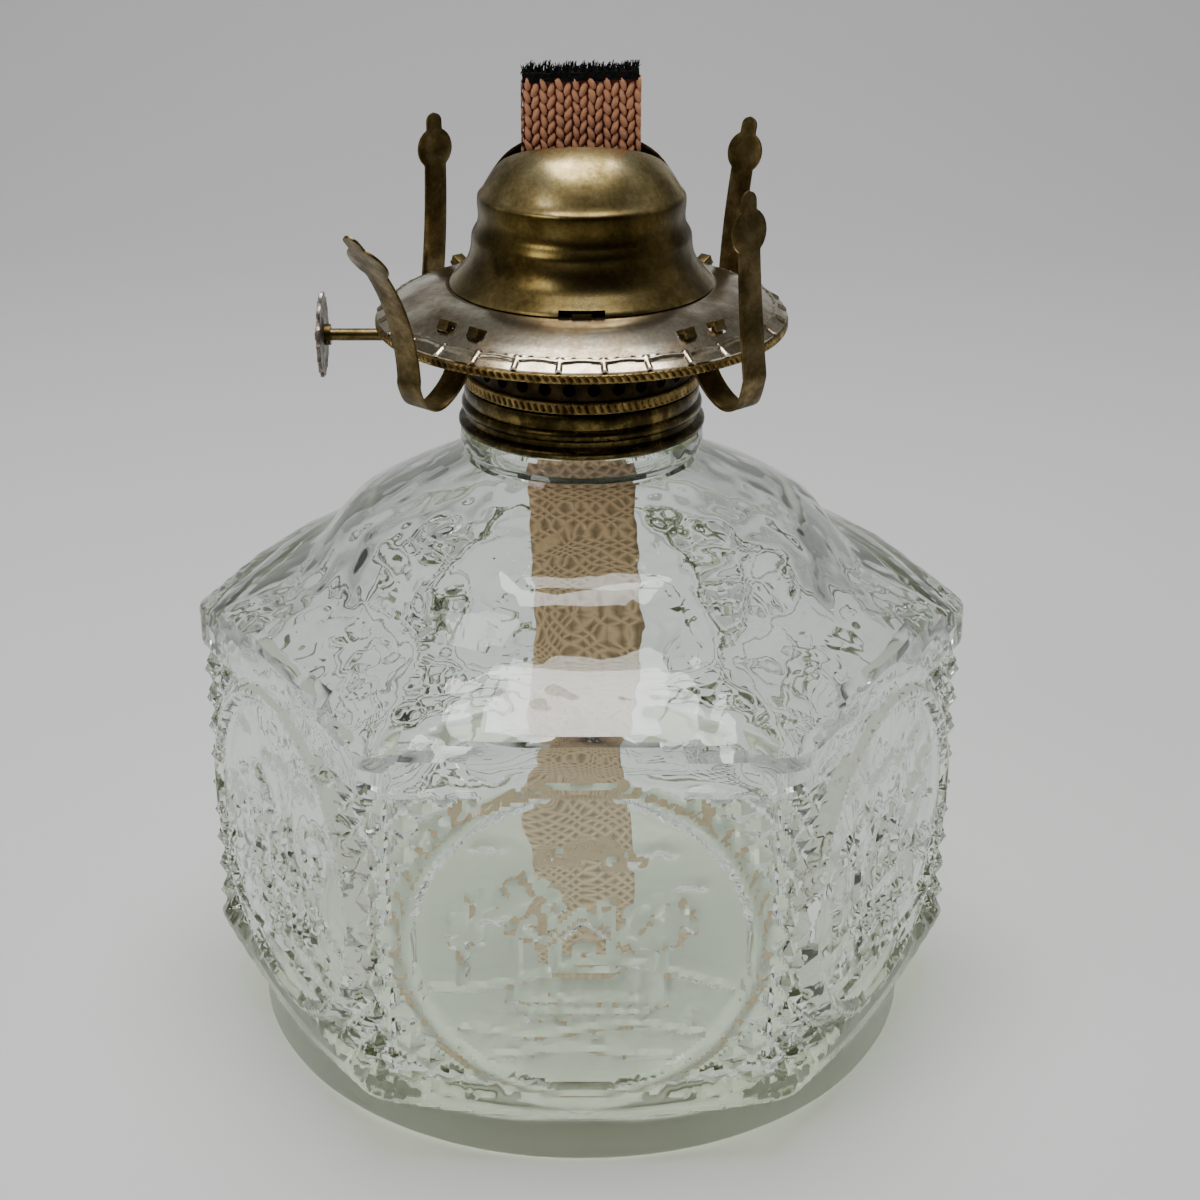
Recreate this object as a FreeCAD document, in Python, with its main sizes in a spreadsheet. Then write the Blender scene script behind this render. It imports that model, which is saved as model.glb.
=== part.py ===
"""Oil lamp: a hexagonal pressed-glass font with a brass collar and a flat-wick burner.

The frame: +Z up, the origin at the centre of the glass base, +X and -X through two of the
font's corners, the thumbwheel on the -X side. Lengths are in millimetres.
"""
import FreeCAD, Part
import math
import os
import re

import PartDesign
import Sketcher

V = FreeCAD.Vector

# ---------------------------------------------------------------- driving dimensions
SIZES = {
    # glass font
    "hexagon_reach": 79.2,          # centre to the sharp corner of the hexagon
    "hexagon_rounding": 5.0,
    "foot_radius": 68.3,
    "foot_rim": 10.4,               # height of the round foot below the corners
    "foot_rise": 0.42,              # slope of the corners' undersides
    "foot_rounding": 1.6,
    "edge_height": 88.0,            # where the shoulder would meet a corner
    "edge_rounding": 3.0,
    "step_foot_radius": 53.5,
    "step_foot_height": 99.4,
    "step_top_radius": 46.4,
    "step_top_height": 109.6,
    "step_rounding": 3.5,
    "glass_wall": 4.0,
    "floor_thickness": 6.0,
    "shoulder_top_radius": 24.4,
    "shoulder_top_height": 120.9,
    "neck_bead_radius": 24.0,
    "neck_bead_base": 123.6,
    "neck_bead_top": 127.2,
    "neck_radius": 21.4,
    "neck_bore": 18.0,
    "neck_rim_height": 134.5,
    "medallion_radius": 32.3,
    "medallion_height": 49.5,
    "medallion_bead": 0.9,
    # collar
    "collar_wall": 0.6,
    "collar_roll_radius": 24.3,
    "collar_bead_radius": 23.7,
    "collar_band_radius": 23.1,
    "collar_skirt": 8.6,            # collar height over its outside
    "thread_radius": 15.9,          # inside of the collar's thread tube
    "thread_depth": 9.0,
    "plaster_gap": 0.05,
    "plaster_depth": 1.1,
    # burner body
    "thread_clearance": 0.1,
    "seat_clearance": 0.2,
    "sheet_wall": 0.5,
    "milled_radius": 23.2,
    "milled_height": 2.4,
    "drum_radius": 22.4,
    "air_hole_radius": 1.25,
    "air_hole_count": 30,
    "gallery_rise": 19.4,           # burner seat to the top of the gallery plate
    "gallery_bore": 20.6,
    "gallery_flat": 26.0,
    "gallery_radius": 39.7,
    "gallery_tab_inset": 6.0,       # rim in to the circle of tab holes
    "gallery_tab_drop": 2.5,
    "flute_length": 2.4,
    "gallery_flute_drop": 4.2,
    "gallery_edge_drop": 5.6,
    "flute_count": 30,
    "flute_width": 1.1,
    "edge_ring_overhang": 0.3,
    "edge_ring_height": 1.8,
    "catch_width": 3.6,
    "notch_width": 8.6,
    "notch_height": 1.0,
    # wick and its tube
    "wick_width": 22.2,
    "wick_thickness": 3.0,
    "wick_clearance": 0.35,
    "wick_floor_gap": 2.0,          # the tail's end above the font's floor
    "tail_drop": 6.4,               # burner seat down to where the hanging tail begins
    "wick_rise": 38.8,              # gallery top up to the char
    "char_height": 2.6,
    "tube_drop": 14.4,              # burner seat down to the wick tube's end
    "tube_rise": 16.2,              # gallery top up to the wick tube's mouth
    "distributor_rise": 12.0,       # burner seat up to the perforated disc
    # wick raiser
    "shaft_radius": 1.2,
    "shaft_setback": 5.6,           # behind the wick's middle plane
    "shaft_rise": 7.1,              # above the burner seat
    "shaft_clearance": 0.06,
    "spur_width": 0.8,
    "spur_clearance": 0.12,
    "spur_spread": 6.0,
    "spur_teeth": 10,
    "lug_width": 1.6,
    "lug_spread": 9.4,
    "thumbwheel_radius": 8.6,
    "thumbwheel_thickness": 0.9,
    "thumbwheel_reach": 51.2,
    "thumbwheel_lobes": 16,
    # dome
    "dome_gap": 0.25,
    "dome_base_radius": 25.5,
    "dome_height": 28.2,
    "dome_wall": 0.45,
    "dome_slot_length": 33.0,
    "dome_slot_width": 15.4,
    # chimney prongs
    "prong_spread": 41.0,           # degrees either side of the Y axis
    "prong_width": 5.6,
    "prong_strip": 0.5,
    "prong_bend_radius": 6.8,
    "prong_drop": 7.8,              # gallery top to the centre of the bend
    "prong_arm": 32.5,
    "prong_gap": 0.35,
    "ear_radius": 4.3,
    "ear_setback": 7.2,             # tip to the middle of the ears
    "nub_width": 3.7,
    "tab_spacing": 7.5,
    "tab_width": 2.0,
    "tab_hole_radius": 1.6,
}

# how far each prong leans in at the end of its bend and at its tip, in degrees
PRONG_LEANS = {
    "prong_front_right": (8.0, 3.0),
    "prong_front_left": (-3.0, -40.0),
    "prong_back_right": (-4.0, -14.0),
    "prong_back_left": (8.0, -1.0),
}

# sizes that several pieces share, as formulas of the driving ones
TAB_CIRCLE = "(gallery_radius - gallery_tab_inset)"
FLUTE_RADIUS = "(gallery_radius - flute_length)"
EDGE_RING_RADIUS = "(gallery_radius + edge_ring_overhang)"
PLASTER_TOP = "(neck_rim_height + plaster_depth)"
COLLAR_TOP = "(neck_rim_height + plaster_depth + collar_wall)"
COLLAR_BASE = "(neck_rim_height + plaster_depth + collar_wall - collar_skirt)"
BURNER_SEAT = "(neck_rim_height + plaster_depth + collar_wall + seat_clearance)"
MILLED_TOP = f"({BURNER_SEAT} + milled_height)"
GALLERY_TOP = f"({BURNER_SEAT} + gallery_rise)"
DOME_BASE = f"({GALLERY_TOP} + dome_gap)"
SHAFT_HEIGHT = f"({BURNER_SEAT} + shaft_rise)"
DISTRIBUTOR_HEIGHT = f"({BURNER_SEAT} + distributor_rise)"
TUBE_BOTTOM = f"({BURNER_SEAT} - tube_drop)"
TUBE_TOP = f"({GALLERY_TOP} + tube_rise)"
TAIL_TOP = f"({BURNER_SEAT} - tail_drop)"
TAIL_BOTTOM = "(floor_thickness + wick_floor_gap)"
WICK_TOP = f"({GALLERY_TOP} + wick_rise)"
TUBE_WIDTH = "(wick_width + 2 * wick_clearance)"
TUBE_DEPTH = "(wick_thickness + 2 * wick_clearance)"
SPUR_RADIUS = "(shaft_setback - wick_thickness / 2 - spur_clearance)"
APOTHEM = "(hexagon_reach * sqrt(3) / 2)"

doc = FreeCAD.newDocument("OilLamp")
sheet = doc.addObject("Spreadsheet::Sheet", "Sizes")


def fill_sheet():
    for row, (name, value) in enumerate(SIZES.items(), start=1):
        sheet.set(f"A{row}", name)
        sheet.set(f"B{row}", repr(value))
        sheet.setAlias(f"B{row}", name)
    row = len(SIZES)
    for name, (bend, tip) in PRONG_LEANS.items():
        for part, value in (("bend_lean", bend), ("tip_lean", tip)):
            row += 1
            sheet.set(f"A{row}", f"{name}_{part}")
            sheet.set(f"B{row}", repr(value))
            sheet.setAlias(f"B{row}", f"{name}_{part}")
    doc.recompute()


# ---------------------------------------------------------------- drawing helpers
def bound(formula):
    """The formula as another object writes it, with each size taken from the sheet."""
    return re.sub(r"\b[a-z]+_\w+", lambda m: "Sizes." + m.group(0), str(formula))


def number(formula):
    """What the formula gives at the present sizes."""
    return float(sheet.evalExpression(str(formula)))


def tie(piece, prop, formula):
    piece.setExpression(prop, bound(formula))


def new_body(label):
    body = doc.addObject("PartDesign::Body", label)
    body.Label = label
    return body


def origin_part(body, role):
    return next(f for f in body.Origin.OriginFeatures if f.Role == role)


def new_sketch(body, role, name):
    sketch = body.newObject("Sketcher::SketchObject", name)
    sketch.AttachmentSupport = (origin_part(body, role), [""])
    sketch.MapMode = "FlatFace"
    return sketch


def pin(sketch, geometry, point, x, y):
    """Holds one point of the sketch at two formulas."""
    for kind, formula in (("DistanceX", x), ("DistanceY", y)):
        held = sketch.addConstraint(
            Sketcher.Constraint(kind, -1, 1, geometry, point, number(formula))
        )
        if re.search("[a-z]", str(formula)):
            tie(sketch, f"Constraints[{held}]", formula)


def draw_outline(sketch, corners):
    """A closed outline of straight lines, each corner a pair of formulas."""
    spots = [V(number(x), number(y), 0) for x, y in corners]
    ends = spots[1:] + spots[:1]
    lines = sketch.addGeometry([Part.LineSegment(a, b) for a, b in zip(spots, ends)])
    for here, after in zip(lines, lines[1:] + lines[:1]):
        sketch.addConstraint(Sketcher.Constraint("Coincident", here, 2, after, 1))
    for line, (x, y) in zip(lines, corners):
        pin(sketch, line, 1, x, y)


def draw_circle(sketch, x, y, radius):
    circle = sketch.addGeometry(Part.Circle(V(number(x), number(y), 0), V(0, 0, 1), number(radius)))
    pin(sketch, circle, 3, x, y)
    held = sketch.addConstraint(Sketcher.Constraint("Radius", circle, number(radius)))
    tie(sketch, f"Constraints[{held}]", radius)


def turned(body, name, corners, cut=False):
    """A ring or shell turned about Z from an outline of radius and height."""
    sketch = new_sketch(body, "XZ_Plane", name + "_outline")
    draw_outline(sketch, corners)
    kind = "PartDesign::Groove" if cut else "PartDesign::Revolution"
    feature = body.newObject(kind, name)
    feature.Profile = sketch
    feature.ReferenceAxis = (origin_part(body, "Z_Axis"), [""])
    feature.Angle = 360
    doc.recompute()
    return feature


def padded(body, sketch, name, length, both_sides=False):
    pad = body.newObject("PartDesign::Pad", name)
    pad.Profile = sketch
    tie(pad, "Length", length)
    pad.Midplane = both_sides
    doc.recompute()
    return pad


def cut_through(body, sketch, name):
    """A pocket through everything on both sides of its sketch."""
    pocket = body.newObject("PartDesign::Pocket", name)
    pocket.Profile = sketch
    pocket.Type = "ThroughAll"
    pocket.Midplane = True
    doc.recompute()
    return pocket


def patterned(body, feature, name, count):
    pattern = body.newObject("PartDesign::PolarPattern", name)
    pattern.Originals = [feature]
    pattern.Axis = (origin_part(body, "Z_Axis"), [""])
    pattern.Angle = 360
    tie(pattern, "Occurrences", count)
    body.Tip = pattern
    doc.recompute()
    return pattern


def rounded(body, feature, name, radius, wanted):
    """Rounds the edges that wanted() picks."""
    edges = [f"Edge{i}" for i, e in enumerate(feature.Shape.Edges, 1) if wanted(e)]
    fillet = body.newObject("PartDesign::Fillet", name)
    fillet.Base = (feature, edges)
    tie(fillet, "Radius", radius)
    doc.recompute()
    return fillet


def ring_edge(radius, height, within=0.3):
    """Picks the circle of this radius and height about the lamp's axis."""

    def wanted(edge):
        curve = edge.Curve
        if not isinstance(curve, Part.Circle):
            return False
        near = abs(curve.Radius - number(radius)) < within
        return near and abs(curve.Center.z - number(height)) < within

    return wanted


def block(body, name, length, width, height, x, y, z, cut=False):
    """A box centred on x and y, standing on z."""
    kind = "PartDesign::SubtractiveBox" if cut else "PartDesign::AdditiveBox"
    box = body.newObject(kind, name)
    tie(box, "Length", length)
    tie(box, "Width", width)
    tie(box, "Height", height)
    tie(box, "Placement.Base.x", f"{x} - ({length}) / 2")
    tie(box, "Placement.Base.y", f"{y} - ({width}) / 2")
    tie(box, "Placement.Base.z", z)
    doc.recompute()
    return box


def rod(body, name, radius, start, length, y, z, cut=False):
    """A round bar along +X from start."""
    kind = "PartDesign::SubtractiveCylinder" if cut else "PartDesign::AdditiveCylinder"
    bar = body.newObject(kind, name)
    bar.Placement = FreeCAD.Placement(V(), FreeCAD.Rotation(V(0, 1, 0), 90))
    tie(bar, "Radius", radius)
    tie(bar, "Height", length)
    tie(bar, "Placement.Base.x", start)
    tie(bar, "Placement.Base.y", y)
    tie(bar, "Placement.Base.z", z)
    doc.recompute()
    return bar


# ---------------------------------------------------------------- glass font
def draw_hexagon(sketch, reach, rounding):
    """A hexagon with rounded corners, two of them on the X axis."""
    centre = f"({reach} - {rounding} * 2 / sqrt(3))"
    radius = number(rounding)
    arcs = []
    for corner in range(6):
        turn = math.radians(60 * corner)
        x, y = f"{centre} * cos({60 * corner} deg)", f"{centre} * sin({60 * corner} deg)"
        circle = Part.Circle(V(number(x), number(y), 0), V(0, 0, 1), radius)
        arc = Part.ArcOfCircle(circle, turn - math.pi / 6, turn + math.pi / 6)
        arcs.append(sketch.addGeometry(arc))
        pin(sketch, arcs[-1], 3, x, y)
        held = sketch.addConstraint(Sketcher.Constraint("Radius", arcs[-1], radius))
        tie(sketch, f"Constraints[{held}]", rounding)
    for here, after in zip(arcs, arcs[1:] + arcs[:1]):
        ends = sketch.getPoint(here, 2), sketch.getPoint(after, 1)
        side = sketch.addGeometry(Part.LineSegment(*ends))
        sketch.addConstraint(Sketcher.Constraint("Tangent", here, 2, side, 1))
        sketch.addConstraint(Sketcher.Constraint("Tangent", side, 2, after, 1))


def trim_to_hexagon(body, name, reach, rounding):
    """Cuts a turned body down to a hexagonal prism."""
    sketch = new_sketch(body, "XY_Plane", name + "_plan")
    draw_hexagon(sketch, reach, rounding)
    draw_circle(sketch, "0", "0", "hexagon_reach * 1.2")
    return cut_through(body, sketch, name)


def shoulder_edge(edge):
    """Picks the long edges where the shoulder meets the hexagon's faces."""
    middle = edge.CenterOfMass
    outside = math.hypot(middle.x, middle.y) > number("step_foot_radius") + 5
    low = number("edge_height") - 12
    flat = edge.BoundBox.ZLength < 8
    return outside and low < middle.z < number("step_foot_height") and flat


def make_font():
    body = new_body("font_outside")
    far = "(hexagon_reach * 1.03)"
    shoulder_slope = "(step_foot_height - edge_height) / (hexagon_reach - step_foot_radius)"
    turned(body, "font_form", [
        ("0", "0"),
        ("foot_radius", "0"),
        ("foot_radius", "foot_rim"),
        (far, f"foot_rim + foot_rise * ({far} - foot_radius)"),
        (far, f"step_foot_height - ({far} - step_foot_radius) * {shoulder_slope}"),
        ("step_foot_radius", "step_foot_height"),
        ("step_top_radius", "step_top_height"),
        ("shoulder_top_radius", "shoulder_top_height"),
        ("shoulder_top_radius - 1.3", "shoulder_top_height + 0.9"),
        ("shoulder_top_radius - 1.3", "neck_bead_base"),
        ("neck_bead_radius", "neck_bead_base + 0.6"),
        ("neck_bead_radius", "neck_bead_top"),
        ("neck_radius", "neck_bead_top"),
        ("neck_radius", "neck_rim_height"),
        ("0", "neck_rim_height"),
    ])
    shape = trim_to_hexagon(body, "font_faces", "hexagon_reach", "hexagon_rounding")
    shape = rounded(body, shape, "font_shoulder_edge", "edge_rounding", shoulder_edge)
    shape = rounded(body, shape, "font_step_top", "step_rounding",
                    ring_edge("step_top_radius", "step_top_height"))
    shape = rounded(body, shape, "font_step_foot", "step_rounding",
                    ring_edge("step_foot_radius", "step_foot_height"))
    shape = rounded(body, shape, "font_foot_edge", "foot_rounding",
                    ring_edge("foot_radius", "0"))
    bead = body.newObject("PartDesign::AdditiveTorus", "medallion_ring")
    bead.Placement = FreeCAD.Placement(V(), FreeCAD.Rotation(V(1, 0, 0), 90))
    tie(bead, "Radius1", "medallion_radius")
    tie(bead, "Radius2", "medallion_bead")
    tie(bead, "Placement.Base.y", f"-{APOTHEM}")
    tie(bead, "Placement.Base.z", "medallion_height")
    doc.recompute()
    patterned(body, bead, "medallion_rings", "6")
    return body


def make_reservoir():
    """The space inside the font, from its floor up through the neck."""
    body = new_body("font_inside")
    reach = "(hexagon_reach - glass_wall * 2 / sqrt(3))"
    far = "(hexagon_reach * 1.03)"
    shoulder_slope = "(step_foot_height - edge_height) / (hexagon_reach - step_foot_radius)"
    shoulder_end = f"(step_foot_height - ({far} - step_foot_radius) * {shoulder_slope})"
    inner_slope = "(shoulder_top_height - step_top_height) / (step_top_radius - shoulder_top_radius)"
    top_radius = "(step_top_radius - 0.68 * glass_wall)"
    top_height = "(step_top_height - 0.78 * glass_wall)"
    turned(body, "reservoir_form", [
        ("0", "floor_thickness"),
        ("foot_radius - glass_wall - 2", "floor_thickness"),
        ("foot_radius", "foot_rim + glass_wall"),
        (far, f"foot_rim + glass_wall + foot_rise * ({far} - foot_radius)"),
        (far, f"{shoulder_end} - 1.1 * glass_wall"),
        ("step_foot_radius - 0.66 * glass_wall", "step_foot_height - 0.8 * glass_wall"),
        (top_radius, top_height),
        ("neck_bore", f"{top_height} + ({top_radius} - neck_bore) * {inner_slope}"),
        ("neck_bore", "neck_rim_height + 1"),
        ("0", "neck_rim_height + 1"),
    ])
    trim_to_hexagon(body, "reservoir_faces", reach, "hexagon_rounding")
    return body


def glass_font():
    font = doc.addObject("Part::Cut", "glass_font")
    font.Label = "glass_font"
    font.Base = make_font()
    font.Tool = make_reservoir()
    doc.recompute()
    return font


# ---------------------------------------------------------------- collar
def collar():
    body = new_body("collar")
    skirt = "(neck_radius + plaster_gap + 0.5)"
    tube = "(thread_radius + collar_wall)"
    turned(body, "collar_ring", [
        (skirt, COLLAR_BASE),
        ("collar_roll_radius - 0.6", COLLAR_BASE),
        ("collar_roll_radius", f"{COLLAR_BASE} + 0.5"),
        ("collar_roll_radius", f"{COLLAR_BASE} + 1.7"),
        ("collar_roll_radius - 0.6", f"{COLLAR_BASE} + 2.3"),
        ("collar_band_radius - 0.2", f"{COLLAR_BASE} + 2.7"),
        ("collar_band_radius - 0.2", f"{COLLAR_BASE} + 3.1"),
        ("collar_bead_radius", f"{COLLAR_BASE} + 3.8"),
        ("collar_bead_radius", f"{COLLAR_BASE} + 5.2"),
        ("collar_band_radius - 0.2", f"{COLLAR_BASE} + 5.9"),
        ("collar_band_radius", f"{COLLAR_BASE} + 6.4"),
        ("collar_band_radius", COLLAR_TOP),
        ("thread_radius", COLLAR_TOP),
        ("thread_radius", f"{COLLAR_TOP} - thread_depth"),
        (tube, f"{COLLAR_TOP} - thread_depth"),
        (tube, PLASTER_TOP),
        (skirt, PLASTER_TOP),
    ])
    return body


def collar_plaster():
    """The plaster that beds the collar on the glass neck."""
    body = new_body("collar_plaster")
    skirt = "(neck_radius + plaster_gap + 0.5)"
    turned(body, "plaster_ring", [
        ("thread_radius + collar_wall", "neck_rim_height"),
        ("neck_radius", "neck_rim_height"),
        ("neck_radius", f"{COLLAR_BASE} + 0.6"),
        (skirt, f"{COLLAR_BASE} + 0.6"),
        (skirt, PLASTER_TOP),
        ("thread_radius + collar_wall", PLASTER_TOP),
    ])
    return body


# ---------------------------------------------------------------- burner body
def burner_base():
    """The screw shell with its floor, which the wick tube is soldered into, and milled band."""
    body = new_body("burner_base")
    shell = "(thread_radius - thread_clearance)"
    bore = "(thread_radius - thread_clearance - sheet_wall)"
    turned(body, "base_shell", [
        (shell, f"{COLLAR_TOP} - thread_depth + 1"),
        (shell, BURNER_SEAT),
        ("milled_radius", BURNER_SEAT),
        ("milled_radius", MILLED_TOP),
        ("milled_radius - 1.6", MILLED_TOP),
        ("milled_radius - 1.6", f"{BURNER_SEAT} + sheet_wall"),
        ("0", f"{BURNER_SEAT} + sheet_wall"),
        ("0", BURNER_SEAT),
        (bore, BURNER_SEAT),
        (bore, f"{COLLAR_TOP} - thread_depth + 1"),
    ])
    block(body, "tube_opening", f"{TUBE_WIDTH} + 2 * sheet_wall + 0.04",
          f"{TUBE_DEPTH} + 2 * sheet_wall + 0.04", "4", "0", "0", f"{BURNER_SEAT} - 2", cut=True)
    return body


def air_drum():
    """The perforated wall between the base and the gallery."""
    body = new_body("air_drum")
    inside = "(drum_radius - sheet_wall)"
    under_gallery = f"({GALLERY_TOP} - sheet_wall)"
    turned(body, "drum_wall", [
        (inside, MILLED_TOP),
        ("drum_radius", MILLED_TOP),
        ("drum_radius", under_gallery),
        ("gallery_bore", under_gallery),
        ("gallery_bore", f"{under_gallery} - sheet_wall"),
        (inside, f"{under_gallery} - sheet_wall"),
    ])
    hole = rod(body, "air_hole", "air_hole_radius", "drum_radius - 2", "4", "0",
               f"{MILLED_TOP} + 2.2", cut=True)
    patterned(body, hole, "air_holes_low", "air_hole_count")
    hole = rod(body, "air_hole_high", "air_hole_radius", "drum_radius - 2", "4", "0",
               f"{MILLED_TOP} + 7.4", cut=True)
    patterned(body, hole, "air_holes_high", "air_hole_count")
    rod(body, "bush_hole", "shaft_radius + shaft_clearance + 0.9", "-drum_radius - 2", "4",
        "shaft_setback", SHAFT_HEIGHT, cut=True)
    return body


def shaft_bush():
    """The little tube in the drum's wall that the raiser shaft turns in."""
    body = new_body("shaft_bush")
    rod(body, "bush", "shaft_radius + shaft_clearance + 0.85", "-drum_radius - 1.4", "3.2",
        "shaft_setback", SHAFT_HEIGHT)
    rod(body, "bush_bore", "shaft_radius + shaft_clearance", "-drum_radius - 2", "5",
        "shaft_setback", SHAFT_HEIGHT, cut=True)
    return body


def air_distributor():
    """The perforated disc that evens out the air around the wick tube."""
    body = new_body("air_distributor")
    sketch = new_sketch(body, "XY_Plane", "disc_plan")
    draw_circle(sketch, "0", "0", "drum_radius - sheet_wall - 0.05")
    disc = padded(body, sketch, "disc", "sheet_wall")
    tie(sketch, "AttachmentOffset.Base.z", DISTRIBUTOR_HEIGHT)
    doc.recompute()
    for ring, count in (("0.9", 24), ("0.76", 20)):
        hole_sketch = new_sketch(body, "XY_Plane", "disc_hole_plan")
        draw_circle(hole_sketch, f"(drum_radius - sheet_wall) * {ring}", "0", "air_hole_radius * 0.7")
        hole = cut_through(body, hole_sketch, "disc_hole")
        patterned(body, hole, "disc_holes", count)
    block(body, "tube_opening", f"{TUBE_WIDTH} + 2 * sheet_wall + 0.1",
          f"{TUBE_DEPTH} + 2 * sheet_wall + 0.1", "4", "0", "0", f"{DISTRIBUTOR_HEIGHT} - 2",
          cut=True)
    return body


def gallery_plate():
    """The domed plate that the chimney stands on, with its fluted rim."""
    body = new_body("gallery_plate")
    top = [
        ("gallery_bore", "0"),
        ("gallery_flat", "0"),
        (f"(gallery_flat + {TAB_CIRCLE}) / 2", "gallery_tab_drop * 0.4"),
        (TAB_CIRCLE, "gallery_tab_drop"),
        (FLUTE_RADIUS, "gallery_flute_drop"),
        ("gallery_radius", "gallery_edge_drop"),
    ]
    above = [(radius, f"{GALLERY_TOP} - {drop}") for radius, drop in top]
    below = [(radius, f"{GALLERY_TOP} - {drop} - sheet_wall") for radius, drop in reversed(top)]
    turned(body, "plate", above + below)
    rise = "(gallery_flute_drop + gallery_edge_drop) / 2"
    ridge = block(body, "flute", "flute_length - 0.2", "flute_width", "0.5",
                  f"(gallery_radius + {FLUTE_RADIUS}) / 2", "0",
                  f"{GALLERY_TOP} - {rise} - 0.1")
    patterned(body, ridge, "flutes", "flute_count")
    sketch = new_sketch(body, "XY_Plane", "tab_hole_plan")
    for side in (1, -1):
        for end in (1, -1):
            for twin in (1, -1):
                along = f"{TAB_CIRCLE} * sin(prong_spread * 1 deg)"
                away = f"{TAB_CIRCLE} * cos(prong_spread * 1 deg)"
                slide_x = "tab_spacing / 2 * cos(prong_spread * 1 deg)"
                slide_y = "tab_spacing / 2 * sin(prong_spread * 1 deg)"
                x = f"{side} * ({along} + {twin} * {slide_x})"
                y = f"{end} * ({away} - {twin} * {slide_y})"
                draw_circle(sketch, x, y, "tab_hole_radius")
    cut_through(body, sketch, "tab_holes")
    block(body, "catch_slot", "catch_width + 0.6", "1.2", "4", "0", "0.2 - dome_base_radius",
          f"{GALLERY_TOP} - 3", cut=True)
    return body


def gallery_edge_ring():
    """The rolled and milled wire edge under the gallery plate's rim."""
    body = new_body("gallery_edge_ring")
    top = f"({GALLERY_TOP} - gallery_edge_drop - sheet_wall - 0.02)"
    inside = f"({EDGE_RING_RADIUS} - 1.6)"
    turned(body, "edge_ring", [
        (inside, f"{top} - 0.5"),
        (f"{EDGE_RING_RADIUS} - 0.9", top),
        (f"{EDGE_RING_RADIUS} - 0.3", top),
        (EDGE_RING_RADIUS, f"{top} - 0.4"),
        (EDGE_RING_RADIUS, f"{top} - edge_ring_height + 0.4"),
        (f"{EDGE_RING_RADIUS} - 0.5", f"{top} - edge_ring_height"),
        (inside, f"{top} - edge_ring_height"),
    ])
    return body


def dome_catch():
    """The small spring tongue of the gallery that holds the dome's base down."""
    body = new_body("dome_catch")
    block(body, "tongue", "catch_width", "0.5", "2.9", "0", "0.2 - dome_base_radius",
          f"{GALLERY_TOP} - 2.1")
    block(body, "tongue_foot", "catch_width", "2.4", "0.5", "0", "1.15 - dome_base_radius",
          f"{GALLERY_TOP} - 2.1")
    return body


# ---------------------------------------------------------------- dome
def dome():
    """The deflector: a stepped, rounded cap with a long slot for the flame."""
    body = new_body("dome")
    cap = [
        ("dome_base_radius", "0"),
        ("dome_base_radius - 0.4", "0.03"),
        ("dome_base_radius - 2.2", "0.105"),
        ("dome_base_radius - 3.5", "0.18"),
        ("dome_base_radius - 4.2", "0.26"),
        ("dome_base_radius - 4.4", "0.35"),
        ("dome_base_radius - 5.4", "0.42"),
        ("dome_base_radius - 5.7", "0.50"),
        ("dome_base_radius - 5.6", "0.62"),
        ("dome_base_radius - 6.6", "0.655"),
        ("dome_base_radius - 8.2", "0.74"),
        ("dome_base_radius - 10.6", "0.835"),
        ("dome_base_radius - 13.2", "0.905"),
        ("dome_base_radius - 17.5", "0.965"),
        ("0", "1"),
    ]
    outside = [(r, f"{DOME_BASE} + {share} * dome_height") for r, share in cap]
    # the inside is the same outline moved in and down, which leaves an even wall
    inset = "0.8 * dome_wall"
    inside = [(f"{r} - {inset}", f"{z} - {inset}") for r, z in outside[1:-1]]
    inside = [("dome_base_radius - 1.8 * dome_wall", DOME_BASE)] + inside
    inside.append(("0", f"{outside[-1][1]} - {inset}"))
    turned(body, "dome_form", outside + inside[::-1])
    block(body, "catch_gap", "notch_width", "3", "2 * notch_height", "0", "-dome_base_radius",
          f"{DOME_BASE} - notch_height", cut=True)
    sketch = new_sketch(body, "XY_Plane", "slot_plan")
    tie(sketch, "AttachmentOffset.Base.z", f"{DOME_BASE} + 0.5 * dome_height")
    length, width = number("dome_slot_length") / 2, number("dome_slot_width") / 2
    oval = sketch.addGeometry(Part.Ellipse(V(), length, width))
    sketch.addConstraint(Sketcher.Constraint("Coincident", oval, 3, -1, 1))
    sketch.exposeInternalGeometry(oval)
    long_way = sketch.addConstraint(Sketcher.Constraint("Distance", oval + 1, number("dome_slot_length")))
    tie(sketch, f"Constraints[{long_way}]", "dome_slot_length")
    short_way = sketch.addConstraint(Sketcher.Constraint("Distance", oval + 2, number("dome_slot_width")))
    tie(sketch, f"Constraints[{short_way}]", "dome_slot_width")
    sketch.addConstraint(Sketcher.Constraint("Horizontal", oval + 1))
    slot = body.newObject("PartDesign::Pocket", "flame_slot")
    slot.Profile = sketch
    slot.Type = "ThroughAll"
    slot.Reversed = True
    doc.recompute()
    return body


# ---------------------------------------------------------------- wick and its tube
def wick_tube():
    """The flat brass tube, open behind where the spur wheels reach in."""
    body = new_body("wick_tube")
    height = f"{TUBE_TOP} - {TUBE_BOTTOM}"
    block(body, "tube_outside", f"{TUBE_WIDTH} + 2 * sheet_wall", f"{TUBE_DEPTH} + 2 * sheet_wall",
          height, "0", "0", TUBE_BOTTOM)
    block(body, "tube_inside", TUBE_WIDTH, TUBE_DEPTH, f"{height} + 2", "0", "0",
          f"{TUBE_BOTTOM} - 1", cut=True)
    for side in (1, -1):
        block(body, "spur_window", "spur_width + 0.8", "3", f"2 * {SPUR_RADIUS} + 1",
              f"{side} * spur_spread", f"{TUBE_DEPTH} / 2 + 1.2",
              f"{SHAFT_HEIGHT} - {SPUR_RADIUS} - 0.5", cut=True)
    return body


def wick():
    body = new_body("wick")
    block(body, "wick_tape", "wick_width", "wick_thickness",
          f"{WICK_TOP} - {TAIL_TOP}", "0", "0", TAIL_TOP)
    return body


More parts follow.
